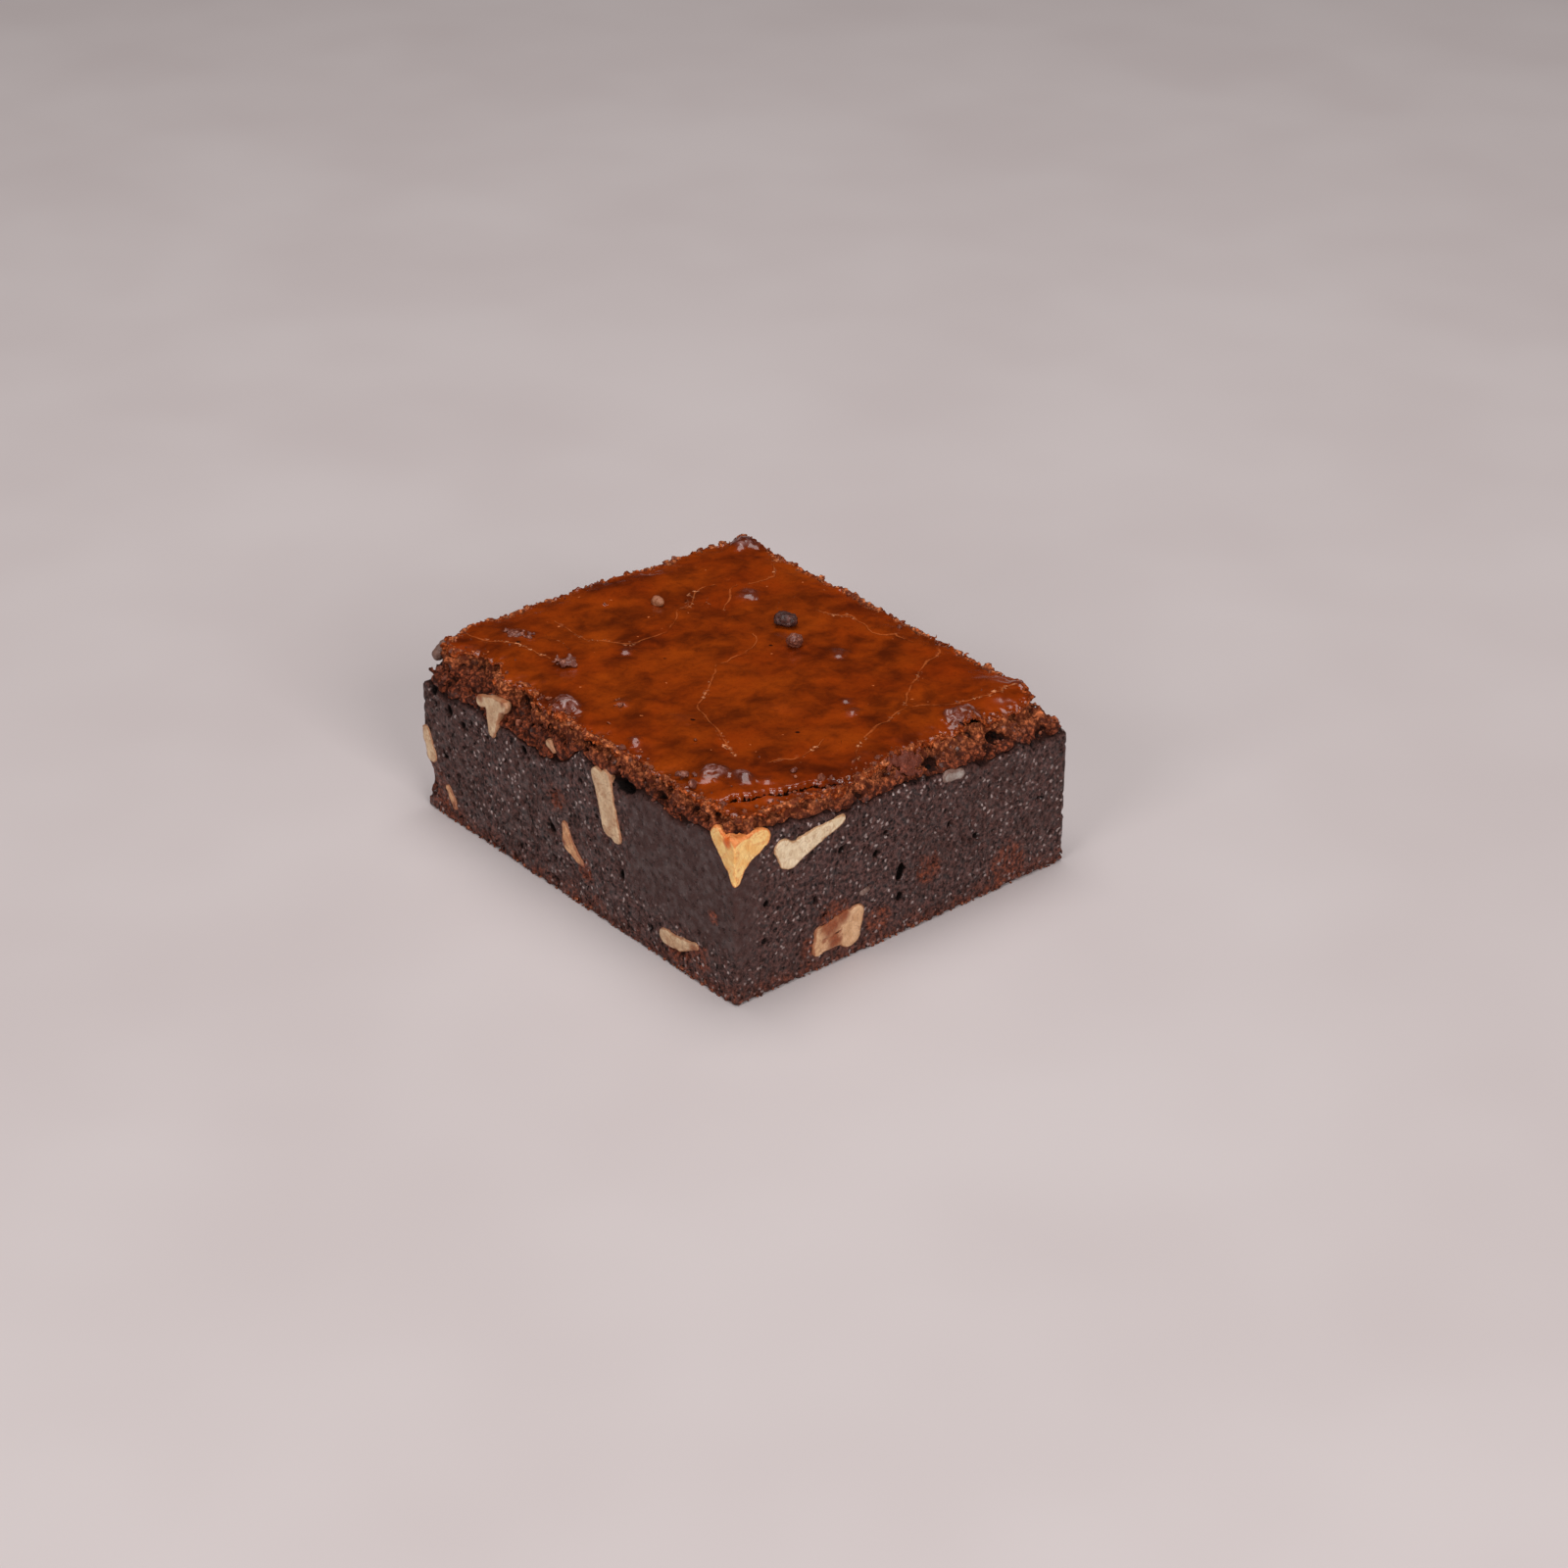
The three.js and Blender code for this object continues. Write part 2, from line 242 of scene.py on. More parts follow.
def solid(name, low, high, voxel, formula, fewest=300, marks=None):
    """A mesh round the place where formula, in mm, is above zero, between two corners.

    Marks are numbers worked out at every point of the mesh for the finish to use.
    """
    started = time.time()
    tree = bpy.data.node_groups.new(name, "GeometryNodeTree")
    tree.interface.new_socket("Geometry", in_out="OUTPUT", socket_type="NodeSocketGeometry")
    density = formula(place_in_mm(tree)) + 1.0
    counts = [int((b - a) / voxel) + 1 for a, b in zip(low, high)]
    box = {
        "Density": density,
        "Background": 0.0,
        "Min": [a / 1000 for a in low],
        "Max": [(a + voxel * (count - 1)) / 1000 for a, count in zip(low, counts)],
        "Resolution X": counts[0],
        "Resolution Y": counts[1],
        "Resolution Z": counts[2],
    }
    volume = Sock.make(tree, "GeometryNodeVolumeCube", None, box)
    inputs = {"Volume": volume, "Threshold": 1.0, "Adaptivity": FLATNESS}
    mesh = Sock.make(tree, "GeometryNodeVolumeToMesh", {"resolution_mode": "GRID"}, inputs)
    mesh = only_large_islands(tree, mesh, fewest)
    for mark, meaning in (marks or {}).items():
        kind = "FLOAT_VECTOR" if mark in VECTOR_MARKS else "FLOAT"
        settings = {"data_type": kind, "domain": "POINT"}
        inputs = {"Geometry": mesh, "Name": mark, "Value": meaning(place_in_mm(tree))}
        mesh = Sock.make(tree, "GeometryNodeStoreNamedAttribute", settings, inputs)
    mesh = Sock.make(tree, "GeometryNodeSetShadeSmooth", None, {"Geometry": mesh})
    output = tree.nodes.new("NodeGroupOutput")
    tree.links.new(mesh.socket, output.inputs[0])

    piece = bpy.data.objects.new(name, bpy.data.meshes.new(name))
    bpy.context.scene.collection.objects.link(piece)
    modifier = piece.modifiers.new("shape", "NODES")
    modifier.node_group = tree
    bpy.ops.object.select_all(action="DESELECT")
    piece.select_set(True)
    bpy.context.view_layer.objects.active = piece
    bpy.ops.object.modifier_apply(modifier=modifier.name)
    seconds = round(time.time() - started, 1)
    print(name, "has", triangles(piece), "triangles, made in", seconds, "s")
    return piece


def triangles(piece):
    return sum(len(face.vertices) - 2 for face in piece.data.polygons)


# %% [markdown]
# ## The slab
#
# A tray bake is never level. This piece is thickest at its front-right corner and falls away
# to the back, and its crust has slow waves and a few blisters where gas and walnuts pushed
# up from below. The same height is used by the crumb, the crust and the rubble, so they stay
# together.

# %% Heights of the slab
HALF_X = (CRUMB_HIGH.x - CRUMB_LOW.x) / 2 - 0.3
HALF_Y = (CRUMB_HIGH.y - CRUMB_LOW.y) / 2 - 0.3
TOP = CRUMB_HIGH.z
# How far the front left, front right, back left and back right corners lie below the top.
CORNER_DROPS = (1.8, 0.5, 2.8, 3.9)

# Blisters in the crust: x, y, radius and height, in mm.
BLISTERS = [
    (24.6, -24.8, 2.5, 1.5),
    (28.3, -22.2, 2.0, 1.2),
    (30.8, -20.2, 1.3, 0.5),
    (32.3, 15.6, 3.1, 2.1),
    (-5.0, -28.2, 2.6, 1.9),
    (21.3, 3.7, 1.7, 0.7),
    (18.1, 5.2, 1.2, 0.45),
    (5.5, 14.8, 1.9, 0.7),
    (-14.0, -10.1, 1.4, 0.65),
    (9.9, -27.2, 1.4, 0.6),
    (-18.3, 17.0, 2.6, 0.7),
    (35.0, 28.0, 2.2, 1.0),
    (29.3, 28.6, 1.6, 0.7),
    (-1.0, -20.9, 1.5, 0.4),
    (8.5, -17.5, 2.4, 0.35),
    (-33.5, 28.5, 3.0, 1.2),
    (-28.8, -19.6, 2.6, 0.5),
]

# Wide swells, given the same way.
SWELLS = [
    (31.0, 26.0, 8.0, 1.0),
    (-34.0, 2.0, 9.0, 0.5),
    (8.0, 4.0, 12.0, 0.3),
]


def slab_height(x, y):
    across = x / (2 * HALF_X) + 0.5
    along = y / (2 * HALF_Y) + 0.5
    front_left, front_right, back_left, back_right = (TOP - drop for drop in CORNER_DROPS)
    front = blend(front_left, front_right, across)
    return blend(front, blend(back_left, back_right, across), along)


def distance_to(x, y, at_x, at_y):
    dx = x - at_x
    dy = y - at_y
    return (dx * dx + dy * dy).math("SQRT")


def blister_rise(x, y, place):
    """Height of the blisters, and of the swells, in mm."""
    flat = flattened(place)
    wobble = ripple(flat, 2.4, 3.0, 0.6) * 0.34
    blisters = 0.0
    for at_x, at_y, radius, height in BLISTERS:
        away = distance_to(x, y, at_x, at_y) / radius + wobble
        blisters = rise(away, 1.25, 0.0) * height + blisters
    swells = 0.0
    for at_x, at_y, radius, height in SWELLS:
        away = distance_to(x, y, at_x, at_y)
        swells = rise(away, radius * 1.4, 0.0) * height + swells
    return blisters, swells


# %% [markdown]
# ## The broken rim
#
# The knife cracks the crust before it reaches the crumb, so the crust stops short of the cut
# face by one to five millimetres, more on the right side and near the left corner. Below its
# edge the crumb is torn into rubble. One function says how far the crust stands in at each
# side, and one how deep the rubble reaches down the face.


# %% Where the rim is lost
def sides(x, y):
    """1 near the left cut face (-Y) and the right cut face (+X), 0 elsewhere."""
    left = rise(y, -22.0, -28.0)
    right = rise(x, 27.0, 33.0)
    return left, right


# Bites out of the crust along the left side: x, half width and depth, in mm.
LEFT_BITES = [(-25.5, 5.2, 4.6), (-14.0, 3.6, 2.3), (-35.5, 3.5, 1.6), (14.0, 3.0, 0.9)]


def rim_setback(x, y, place):
    """How far the crust's edge stands in from the face, in mm."""
    left, right = sides(x, y)
    wander = ripple(flattened(place), 6.0, 3.0) * 0.5
    total = 0.85 + wander + right * rise(y, -7.0, 3.0) * 2.6
    for at_x, half, deep in LEFT_BITES:
        total = total + left * rise(abs(x - at_x), half * 1.3, half * 0.4) * deep
    return total.math("SMOOTH_MAX", 0.35, 0.3)


def rim_depth(x, y, place):
    """How far down the face the torn band reaches, in mm."""
    left, right = sides(x, y)
    wander = ripple(moved(place, 30.0, 0.0, 0.0), 5.0, 3.0) * 1.2
    tall = left * rise(x, 3.0, -5.0) * 3.4
    low = right * rise(y, -12.0, -22.0) * 1.4
    behind = 1.0 - larger(left, right)
    return 4.4 + wander + tall - low - behind * 1.8 + left * rise(x, 2.0, 8.0) * 0.9 + right * 0.5


def ledge(x, y, place):
    """By the right face a strip of crust has cracked off and sunk.

    Gives how far it has dropped in mm, and 1 along the crack where the crust shows its side.
    """
    flat = flattened(place)
    beyond = x - 31.6 - 0.28 * (y + 26.0) - ripple(flat, 2.4, 3.0, 0.6) * 0.7
    zone = rise(y, -30.0, -27.0) * rise(y, -9.0, -12.0)
    step = rise(beyond, -0.15, 0.2)
    groove = step * rise(beyond, 0.8, 0.35)
    drop = (step * 0.45 + groove * 0.75) * zone
    wall = rise(beyond, -1.6, -0.8) * rise(beyond, 1.8, 1.0) * zone
    return drop, wall


def settled_height(x, y, place):
    """The slab's height, less where the strip has sunk."""
    return slab_height(x, y) - ledge(x, y, place)[0]


# %% [markdown]
# ## The crumb
#
# The cut faces are nearly flat. What makes them crumb is their pores: sparse ones up to a
# millimetre wide, crowds of small ones, and a gritty lower edge where the cake met the tray.
# Near the front corner the knife smeared the moist crumb smooth. The formula starts from the
# distance to the faces and takes the pores away from it. Pores are measured on the face's
# own plane, so each one opens to the air.


# %% The crumb's formula
def face_plane(x, y, z, out_x, out_y):
    """The place moved straight out onto the nearer cut face."""
    on_x = out_x > out_y
    flat_x = blend(x, x.math("SIGN") * 40.0, on_x)
    flat_y = blend(y.math("SIGN") * 35.0, y, on_x)
    return join(flat_x, flat_y, z)


def smeared(x, y, z):
    """1 where the knife smeared the left cut face smooth, by the front corner."""
    zone = rise(x, 10.0, 16.0) * rise(y, -25.0, -29.0) * rise(z, 5.0, 10.0)
    return zone * rise(z, 27.0, 24.5)


def pores(plane, smear, z):
    """How deep the pores and the grit reach below the face, in mm."""
    ragged_plane = stirred(plane, 1.3, 0.3)
    crowd = rise(ripple(plane, 8.0), -0.8, 0.6)
    away, chance = cells(ragged_plane, 3.8)
    big = rise(away, 0.3 + chance * 0.7, 0.15) * rise(chance, 0.35, 0.5) * 1.5
    away, chance = cells(moved(ragged_plane, 7.0, 3.0, 5.0), 1.5)
    small = rise(away, 0.2 + chance * 0.5, 0.05) * rise(chance, 0.1, 0.4) * 0.9
    grit = rise(z, 4.5, 0.8) * 0.28
    ragged = ripple(plane, 1.0, 3.0, 0.65) * (0.14 + grit)
    return (big + small * (0.35 + 0.65 * crowd) + ragged) * (1.0 - 0.9 * smear)


def hole(place, x, y, z, size_x, size_y, size_z):
    """Above zero inside one hollow of that size."""
    away = vector_math(moved(place, -x, -y, -z), "DIVIDE", (size_x, size_y, size_z))
    return (1.0 - length(away)) * min(size_x, size_y, size_z)


HOLLOWS = [
    (37.8, -0.9, 10.2, 2.6, 0.75, 1.6),
    (38.0, 2.6, 8.6, 1.2, 1.7, 1.2),
    (38.0, 5.3, 9.4, 1.4, 0.8, 1.0),
    (37.6, -31.6, 27.4, 2.6, 2.6, 1.9),
    (38.2, -14.0, 8.8, 1.4, 0.9, 0.8),
    (35.8, 18.6, 24.3, 2.6, 1.6, 1.0),
    (36.4, 5.6, 24.7, 2.2, 1.5, 0.9),
    (36.8, 27.0, 22.8, 1.6, 1.4, 0.7),
    (-27.5, -29.8, 26.2, 2.8, 3.0, 1.1),
    (-13.6, -30.0, 26.7, 2.8, 2.2, 0.8),
    (-33.0, -30.8, 25.4, 1.2, 1.8, 0.7),
    (12.5, -31.0, 24.6, 2.6, 1.8, 1.1),
    (20.5, -31.2, 26.0, 1.8, 1.4, 0.8),
    (-5.2, -32.0, 10.0, 1.0, 1.6, 0.8),
    (-4.0, -31.8, 15.4, 0.8, 1.2, 1.6),
    (24.5, -32.0, 3.2, 3.4, 1.5, 0.8),
    (-37.0, -31.8, 5.0, 2.8, 1.7, 3.8),
]


def carved(outside, place):
    """The same distance with the hollows taken away."""
    uneven = ripple(place, 1.4, 2.0) * 0.35
    for spot in HOLLOWS:
        outside = larger(outside, hole(place, *spot) + uneven)
    return outside


def crumb_core(place):
    """x, y, z, distance outside the faces, the face's plane, the torn band, depth below top."""
    x, y, z = split(place)
    bow = ripple(place, 16.0, 1.0) * 0.12
    setback = rim_setback(x, y, place)
    depth = rim_depth(x, y, place)
    below = settled_height(x, y, place) - z
    high = rise(below, depth, 0.6)
    out_x = abs(x) - HALF_X + setback * high + bow
    out_y = abs(y) - HALF_Y + setback * high + bow
    plane = face_plane(x, y, z, out_x, out_y)
    outside = out_x.math("SMOOTH_MAX", out_y, 0.5)
    band = rise(below, depth + 0.3, depth - 0.9)
    return x, y, z, outside, plane, band, below


def crumb_formula(place):
    x, y, z, outside, plane, band, below = crumb_core(place)
    outside = outside + pores(plane, smeared(x, y, z), z) * (1.0 - band)
    grain = cells(stirred(place, 1.0, 0.3), 1.6)[0]
    outside = outside + (0.7 + grain * 0.4) * band
    middle = rise(outside, -6.0, -8.5)
    roof = blend(1.4 - below, z - 24.0, middle)
    outside = larger(outside, roof)
    return -larger(carved(outside, place), -z)


def depth_mark(place):
    """How deep a point lies under the flat of the cut face, in mm."""
    return -crumb_core(place)[3]


CORE_VOXEL = 0.36
crumb = solid(
    "crumb_body",
    (-38.2, -32.2, -0.5),
    (38.2, 32.2, 30.4),
    CORE_VOXEL,
    crumb_formula,
    marks={
        "band": lambda place: crumb_core(place)[5],
        "depth": depth_mark,
    },
)

# %% [markdown]
# ## The torn band
#
# Under the crust's edge the knife tore the crumb instead of cutting it. What is left is a
# sponge of fused crumbs with dark gaps between them. Separate grains laid on the face would
# look like gravel, so the band is one solid: the crumb's face with lumps of two sizes and a
# strong noise added, which leaves overhangs and holes.

# %% The torn band's formula
def band_formula(place):
    x, y, z, outside, plane, band, below = crumb_core(place)
    ragged = stirred(place, 1.2, 0.4)
    clump = cells(ragged, 2.1)[0]
    grain = cells(moved(ragged, 3.0, 8.0, 1.0), 0.85)[0]
    lumps = (0.85 - clump) * 1.1 + (0.36 - grain) * 0.9 + ripple(place, 1.7, 3.0, 0.65) * 0.7
    torn = rise(band, 0.0, 0.7)
    body = lumps - outside + 0.15 - (1.0 - torn) * 2.6
    lid = below - 0.95 + rise(outside, -1.4, -0.2) * 0.6 + ripple(place, 1.0, 2.0) * 0.3
    inner = outside + 2.6
    inside = -larger(abs(x) - HALF_X + 0.1, abs(y) - HALF_Y + 0.1)
    body = smaller(smaller(body, lid), smaller(inner, inside))
    return smaller(body, -carved(-body, place))


BAND_VOXEL = 0.27
band_piece = solid(
    "torn_band",
    (-37.8, -31.8, 17.0),
    (37.8, 31.8, 30.2),
    BAND_VOXEL,
    band_formula,
    fewest=40,
    marks={
        "depth": depth_mark,
        "below": lambda place: crumb_core(place)[6],
    },
)

# %% [markdown]
# ## The crust
#
# The crust is a brittle sheet less than a millimetre thick. It could be a flat grid pushed up
# and down, but its torn outline would then show the grid's own steps, so it is a formula
# too: below the top surface, above the underside, and inside a ragged outline. Hair cracks
# are drawn as short lines, and every point of the crust is marked with the way to the
# nearest line, so that the finish can draw them far finer than the mesh.

# %% Cracks in the crust
CRACKS = [
    [(-36, -25), (-30, -23.5), (-26, -21), (-19, -20.5)],
    [(-29, -12), (-21, -12), (-15.5, -7), (-16, -1), (-21, 6), (-25, 12.5), (-24, 19)],
    [(-2.5, 2), (-4, 5.5), (-8, 9)],
    [(3, -9), (0.5, -5), (-2.5, -2), (-2.5, 2)],
    [(3, -9), (7, -13), (12, -15.2), (17, -16.5), (21.5, -18.5)],
    [(33, -6), (29, -1), (27, 4), (24.5, 11), (20, 16), (16.5, 22), (12.5, 28.5)],
    [(-17, 11), (-21.5, 16.5), (-21, 24), (-26, 29)],
    [(24.5, 11), (27, 17), (30, 22), (29.5, 28)],
    [(-8, 22), (-3, 24.5), (3, 24), (9, 27)],
    [(26, -6), (28, -12), (26.5, -17)],
]


def crack_lines():
    """The cracks as loose edges, in metres."""
    points = []
    edges = []
    for crack in CRACKS:
        start = len(points)
        points += [(x / 1000, y / 1000, 0.0) for x, y in crack]
        edges += [(start + n, start + n + 1) for n in range(len(crack) - 1)]
    mesh = bpy.data.meshes.new("crack_lines")
    mesh.from_pydata(points, edges, [])
    lines = bpy.data.objects.new("crack_lines", mesh)
    bpy.context.scene.collection.objects.link(lines)
    return lines


crack_drawing = crack_lines()


def way_to_crack(place):
    """The way from a place to the nearest crack, seen from above, in mm."""
    tree = place.tree
    flat = flattened(place)
    wavy = stirred(stirred(flat, 5.0, 0.9), 1.6, 0.3)
    sample = vector_math(flattened(wavy), "SCALE", 0.001)
    kind = "GeometryNodeObjectInfo"
    lines = Sock.make(tree, kind, {"transform_space": "ORIGINAL"}, {"Object": crack_drawing}, 4)
    inputs = {0: lines, "Sample Position": sample}
    near = Sock.make(tree, "GeometryNodeProximity", {"target_element": "EDGES"}, inputs)
    return vector_math(vector_math(near, "SUBTRACT", sample), "SCALE", 1000.0)


# %% The crust's formula
CRUST_LID = TOP - 0.06


def crust_outline(x, y, place):
    """Below zero inside the crust's torn outline, in mm."""
    flat = stirred(vector_math(place, "MULTIPLY", (1.0, 1.0, 0.4)), 2.2, 0.45)
    setback = rim_setback(x, y, place)
    edge_x = abs(x) - HALF_X + setback * 0.86
    edge_y = abs(y) - HALF_Y + setback * 0.86
    ragged = ripple(flat, 2.6, 2.0) * 0.45 + ripple(flat, 0.95, 3.0, 0.7) * 0.5
    return edge_x.math("SMOOTH_MAX", edge_y, 2.5) + ragged - 0.1


def crust_relief(x, y, flat, outline):
    """How far the crust's surface stands above the plain slab, in mm."""
    wave = ripple(flat, 9.0, 2.0) * 0.28 + ripple(flat, 3.0, 2.0) * 0.07
    blisters, swells = blister_rise(x, y, flat)
    near_edge = rise(outline, -2.2, 0.0)
    sag = rise(outline, -5.0, 0.5) * -0.55
    crumble = (ripple(flat, 1.6, 2.0) * 0.4 + ripple(flat, 0.8, 2.0, 0.7) * 0.3) * near_edge
    return blisters + swells + wave + sag + crumble - 0.15


def crust_formula(place):
    x, y, z = split(place)
    outline = crust_outline(x, y, place)
    flat = flattened(place)
    drop, wall = ledge(x, y, flat)
    top = slab_height(x, y) - drop + crust_relief(x, y, flat, outline)
    thick = 0.5 + rise(outline, -0.5, -3.0) * 0.4 + wall * 1.8
    deep = rise(outline, -5.0, -7.5)
    underside = blend(top - thick - z, 24.6 - z, deep)
    surface = z - top.math("SMOOTH_MIN", CRUST_LID, 0.2)
    return -larger(larger(surface, underside), outline * 0.8)


CRUST_VOXEL = 0.25
crust = solid(
    "crust",
    (-37.9, -31.9, 24.2),
    (37.9, 31.9, 31.0),
    CRUST_VOXEL,
    crust_formula,
    marks={
        "outline": lambda place: crust_outline(*split(place)[:2], place),
        "blister": lambda place: blister_rise(*split(place)[:2], place)[0],
        "sunk": lambda place: ledge(*split(place)[:2], place)[0],
        "crack": way_to_crack,
    },
)

# %% [markdown]
# ## Walnuts
#
# A walnut half is wrinkled into lobes, and a knife through it leaves a flat cream face with
# a thin brown skin round its edge. Eggs and balls make shapes that are too regular, so each
# piece is a few tapering rods with round ends, melted into one another, wrinkled, and cut
# flat at the cake's face. The rods are placed from the middle of the measured piece's own
# box, so that each nut fills the pocket that was made for it.

# %% Walnut shapes
# Each rod: where it starts and ends, in mm from the middle of the piece's box, and its
# radius at both ends. On a cut face the place is given as along the face and up.
NUTS = {
    "walnut_t_piece": [
        ((-2.6, 1.5), (3.1, 2.7), 1.0, 1.0),
        ((0.5, 1.5), (-0.1, -2.6), 1.9, 1.0),
    ],
    "walnut_left_edge": [((-0.7, 1.8), (0.5, -1.6), 1.2, 1.3)],
    "walnut_rim_speck": [((-0.4, 0.3), (0.5, -0.3), 0.75, 0.55)],
    "walnut_long_slice": [
        ((-1.7, 4.4), (0.5, -3.4), 1.35, 1.3),
        ((0.2, 4.6), (2.3, -4.0), 1.3, 1.15),
    ],
    "walnut_skinned_sliver": [
        ((-1.9, 2.3), (-1.1, -0.5), 0.85, 1.35),
        ((-1.1, -0.5), (2.3, -2.8), 1.35, 0.4),
    ],
    "walnut_hollow_chip": [((-0.8, 1.3), (0.7, -1.2), 0.75, 0.65)],
    "walnut_low_curl": [
        ((-3.3, -0.6), (-0.2, -0.4), 1.4, 1.15),
        ((-0.2, -0.4), (3.6, 1.0), 1.15, 0.65),
    ],
    "walnut_front_corner": [
        ((-1.3, -2.8, 2.4), (1.7, -2.6, 0.1), 1.5, 2.2),
        ((1.7, -2.6, 0.3), (2.1, 1.6, 2.0), 2.2, 1.5),
        ((0.1, -2.0, 2.5), (1.9, 0.0, 2.4), 1.2, 1.2),
        ((1.4, -2.4, 1.7), (1.9, -1.6, 1.7), 1.7, 1.7),
        ((1.9, -2.6, 0.1), (2.4, -3.0, -3.1), 2.0, 0.8),
    ],
    "walnut_pale_diagonal": [
        ((-5.2, 1.1), (-3.6, -0.8), 1.4, 2.1),
        ((-3.6, -0.6), (1.3, 0.8), 2.0, 1.45),
        ((1.3, 0.8), (5.8, 1.7), 1.45, 0.75),
    ],
    "walnut_two_lobes": [
        ((-3.7, 1.3), (-3.9, -1.5), 0.95, 1.05),
        ((3.2, 1.8), (1.9, -1.1), 1.5, 2.1),
        ((-2.6, 1.0), (1.2, 1.7), 1.2, 1.4),
        ((-2.8, -1.2), (1.0, -1.3), 1.0, 1.2),
    ],
    "walnut_grey_chip": [((-1.3, 0.2), (1.2, -0.2), 0.95, 0.8)],
    "walnut_fleck": [((-0.6, -0.1), (0.6, 0.1), 0.45, 0.35)],
    "walnut_top_chip": [((-0.3, 0.0, 0.0), (0.4, 0.1, 0.1), 0.85, 0.7)],
    "walnut_shoulder_chip": [((-0.1, -0.5, -0.5), (0.1, 0.5, 0.6), 1.0, 0.9)],
}
ON_RIGHT_FACE = ("walnut_pale_diagonal", "walnut_two_lobes", "walnut_grey_chip", "walnut_fleck")

# Places stained or skinned brown, from the middle of the box, and their radius.
BROWN = {
    "walnut_front_corner": [((1.0, -3.3, 2.6), 1.2)],
    "walnut_two_lobes": [((-1.7, 1.7), 2.6), ((-1.0, -1.0), 2.0), ((0.5, 2.6), 2.0)],
    "walnut_skinned_sliver": [((-2.3, -0.6), 0.9), ((2.4, -2.8), 0.9)],
    "walnut_long_slice": [((3.4, -1.5), 0.9), ((-0.4, 1.2), 0.5)],
    "walnut_low_curl": [((3.4, 0.4), 1.6), ((-0.3, 0.8), 0.5)],
    "walnut_hollow_chip": [((0.6, -1.0), 0.9)],
    "walnut_t_piece": [((-2.6, 2.2), 1.2), ((3.0, 3.4), 1.0)],
}


def nut_point(name, middle, face, place):
    """A place on a piece, given on its cut face or in space, as a point in mm."""
    if len(place) == 3:
        return [a + b for a, b in zip(middle, place)]
    along, up = place
    if name in ON_RIGHT_FACE:
        return [face.x - 0.5, middle[1] + along, middle[2] + up]
    return [middle[0] + along, face.y + 0.5, middle[2] + up]


def rod(place, start, end, thick_start, thick_end):
    """Distance outside a tapering rod with round ends, in mm."""
    along = Vector(end) - Vector(start)
    from_start = moved(place, *(-c for c in start))
    share = (dot(from_start, along) / along.length_squared).math("ADD", 0.0, clamp=True)
    nearest = join(share * along.x, share * along.y, share * along.z)
    away = length(vector_math(from_start, "SUBTRACT", nearest))
    return away - share * (thick_end - thick_start) - thick_start


def nut(name, rods):
    low, high = (1000 * Vector(corner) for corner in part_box(name))
    middle = (low + high) / 2
    face = Vector((high.x, low.y, 0.0))
    seed = 17.0 * (list(NUTS).index(name) + 1)
    voxel = max(0.13, min(0.2, max(high - low) / 50))

    def rounded(place):
        outside = FAR
        for start, end, thick_start, thick_end in rods:
            ends = (nut_point(name, middle, face, point) for point in (start, end))
            one = rod(place, *ends, thick_start, thick_end)
            outside = one.math("SMOOTH_MIN", outside, 0.5)
        wrinkle = ripple(moved(place, seed, 0.0, 0.0), 2.4, 3.0, 0.6) * 0.22
        return outside + wrinkle

    def formula(place):
        x, y, z = split(place)
        grain = ripple(moved(place, 0.0, seed, 0.0), 1.3, 3.0) * 0.06
        cut = larger(x - HALF_X - 0.2, larger(-y - HALF_Y - 0.2, -x - HALF_X - 0.2))
        return -larger(rounded(place), cut + grain)

    def brown(place):
        total = place * 0.0
        for spot, radius in BROWN.get(name, []):
            point = nut_point(name, middle, face, spot)
            near = rise(length(moved(place, *(-c for c in point))) / radius, 1.3, 0.3)
            total = larger(near, total)
        return total

    marks = {
        "inside": lambda place: -rounded(place),
        "brown": brown,
    }
    low_corner = [a - 0.8 for a in low]
    high_corner = [a + 0.8 for a in high]
    return solid("nut_" + name, low_corner, high_corner, voxel, formula, 60, marks)


nuts = {name: nut(name, rods) for name, rods in NUTS.items()}

# %% [markdown]
# ## Lumps on the crust
#
# Two crumbs as big as peas are baked onto the crust, and a few flakes of it have curled up
# or tipped over the rim. Each is an uneven egg, flat for a flake, that starts from the
# crust's own height.

# %% Lumps and flakes
# Each: its middle, its half sizes and its turn in degrees about Y and Z. The height of the
# middle is given above the plain slab.
LUMPS = {
    "dark_lump": [((-7.1, 14.8, 0.75), (2.0, 1.7, 1.0), 0, 20)],
    "crumb_lump": [
        ((-0.3, 10.9, 0.9), (1.2, 1.5, 1.2), 0, 0),
        ((0.3, 10.2, 1.4), (0.8, 0.8, 0.9), 0, 0),
    ],
    "crust_flakes": [
        ((-15.6, -19.4, 0.55), (1.3, 2.0, 0.4), 28, -25),
        ((-17.2, -20.4, 0.35), (0.9, 1.1, 0.35), 15, 10),
        ((22.9, -28.3, 0.15), (0.8, 1.5, 0.4), 20, -40),
        ((25.4, -29.0, 0.0), (0.7, 1.1, 0.4), 30, 30),
        ((-28.5, -19.8, 0.35), (1.2, 2.4, 0.3), 12, -40),
        ((30.9, -15.0, 0.2), (0.6, 1.0, 0.3), 15, 0),
    ],
    "rim_flake": [((36.0, 0.6, -1.5), (2.3, 3.1, 0.42), 52, 0)],
}


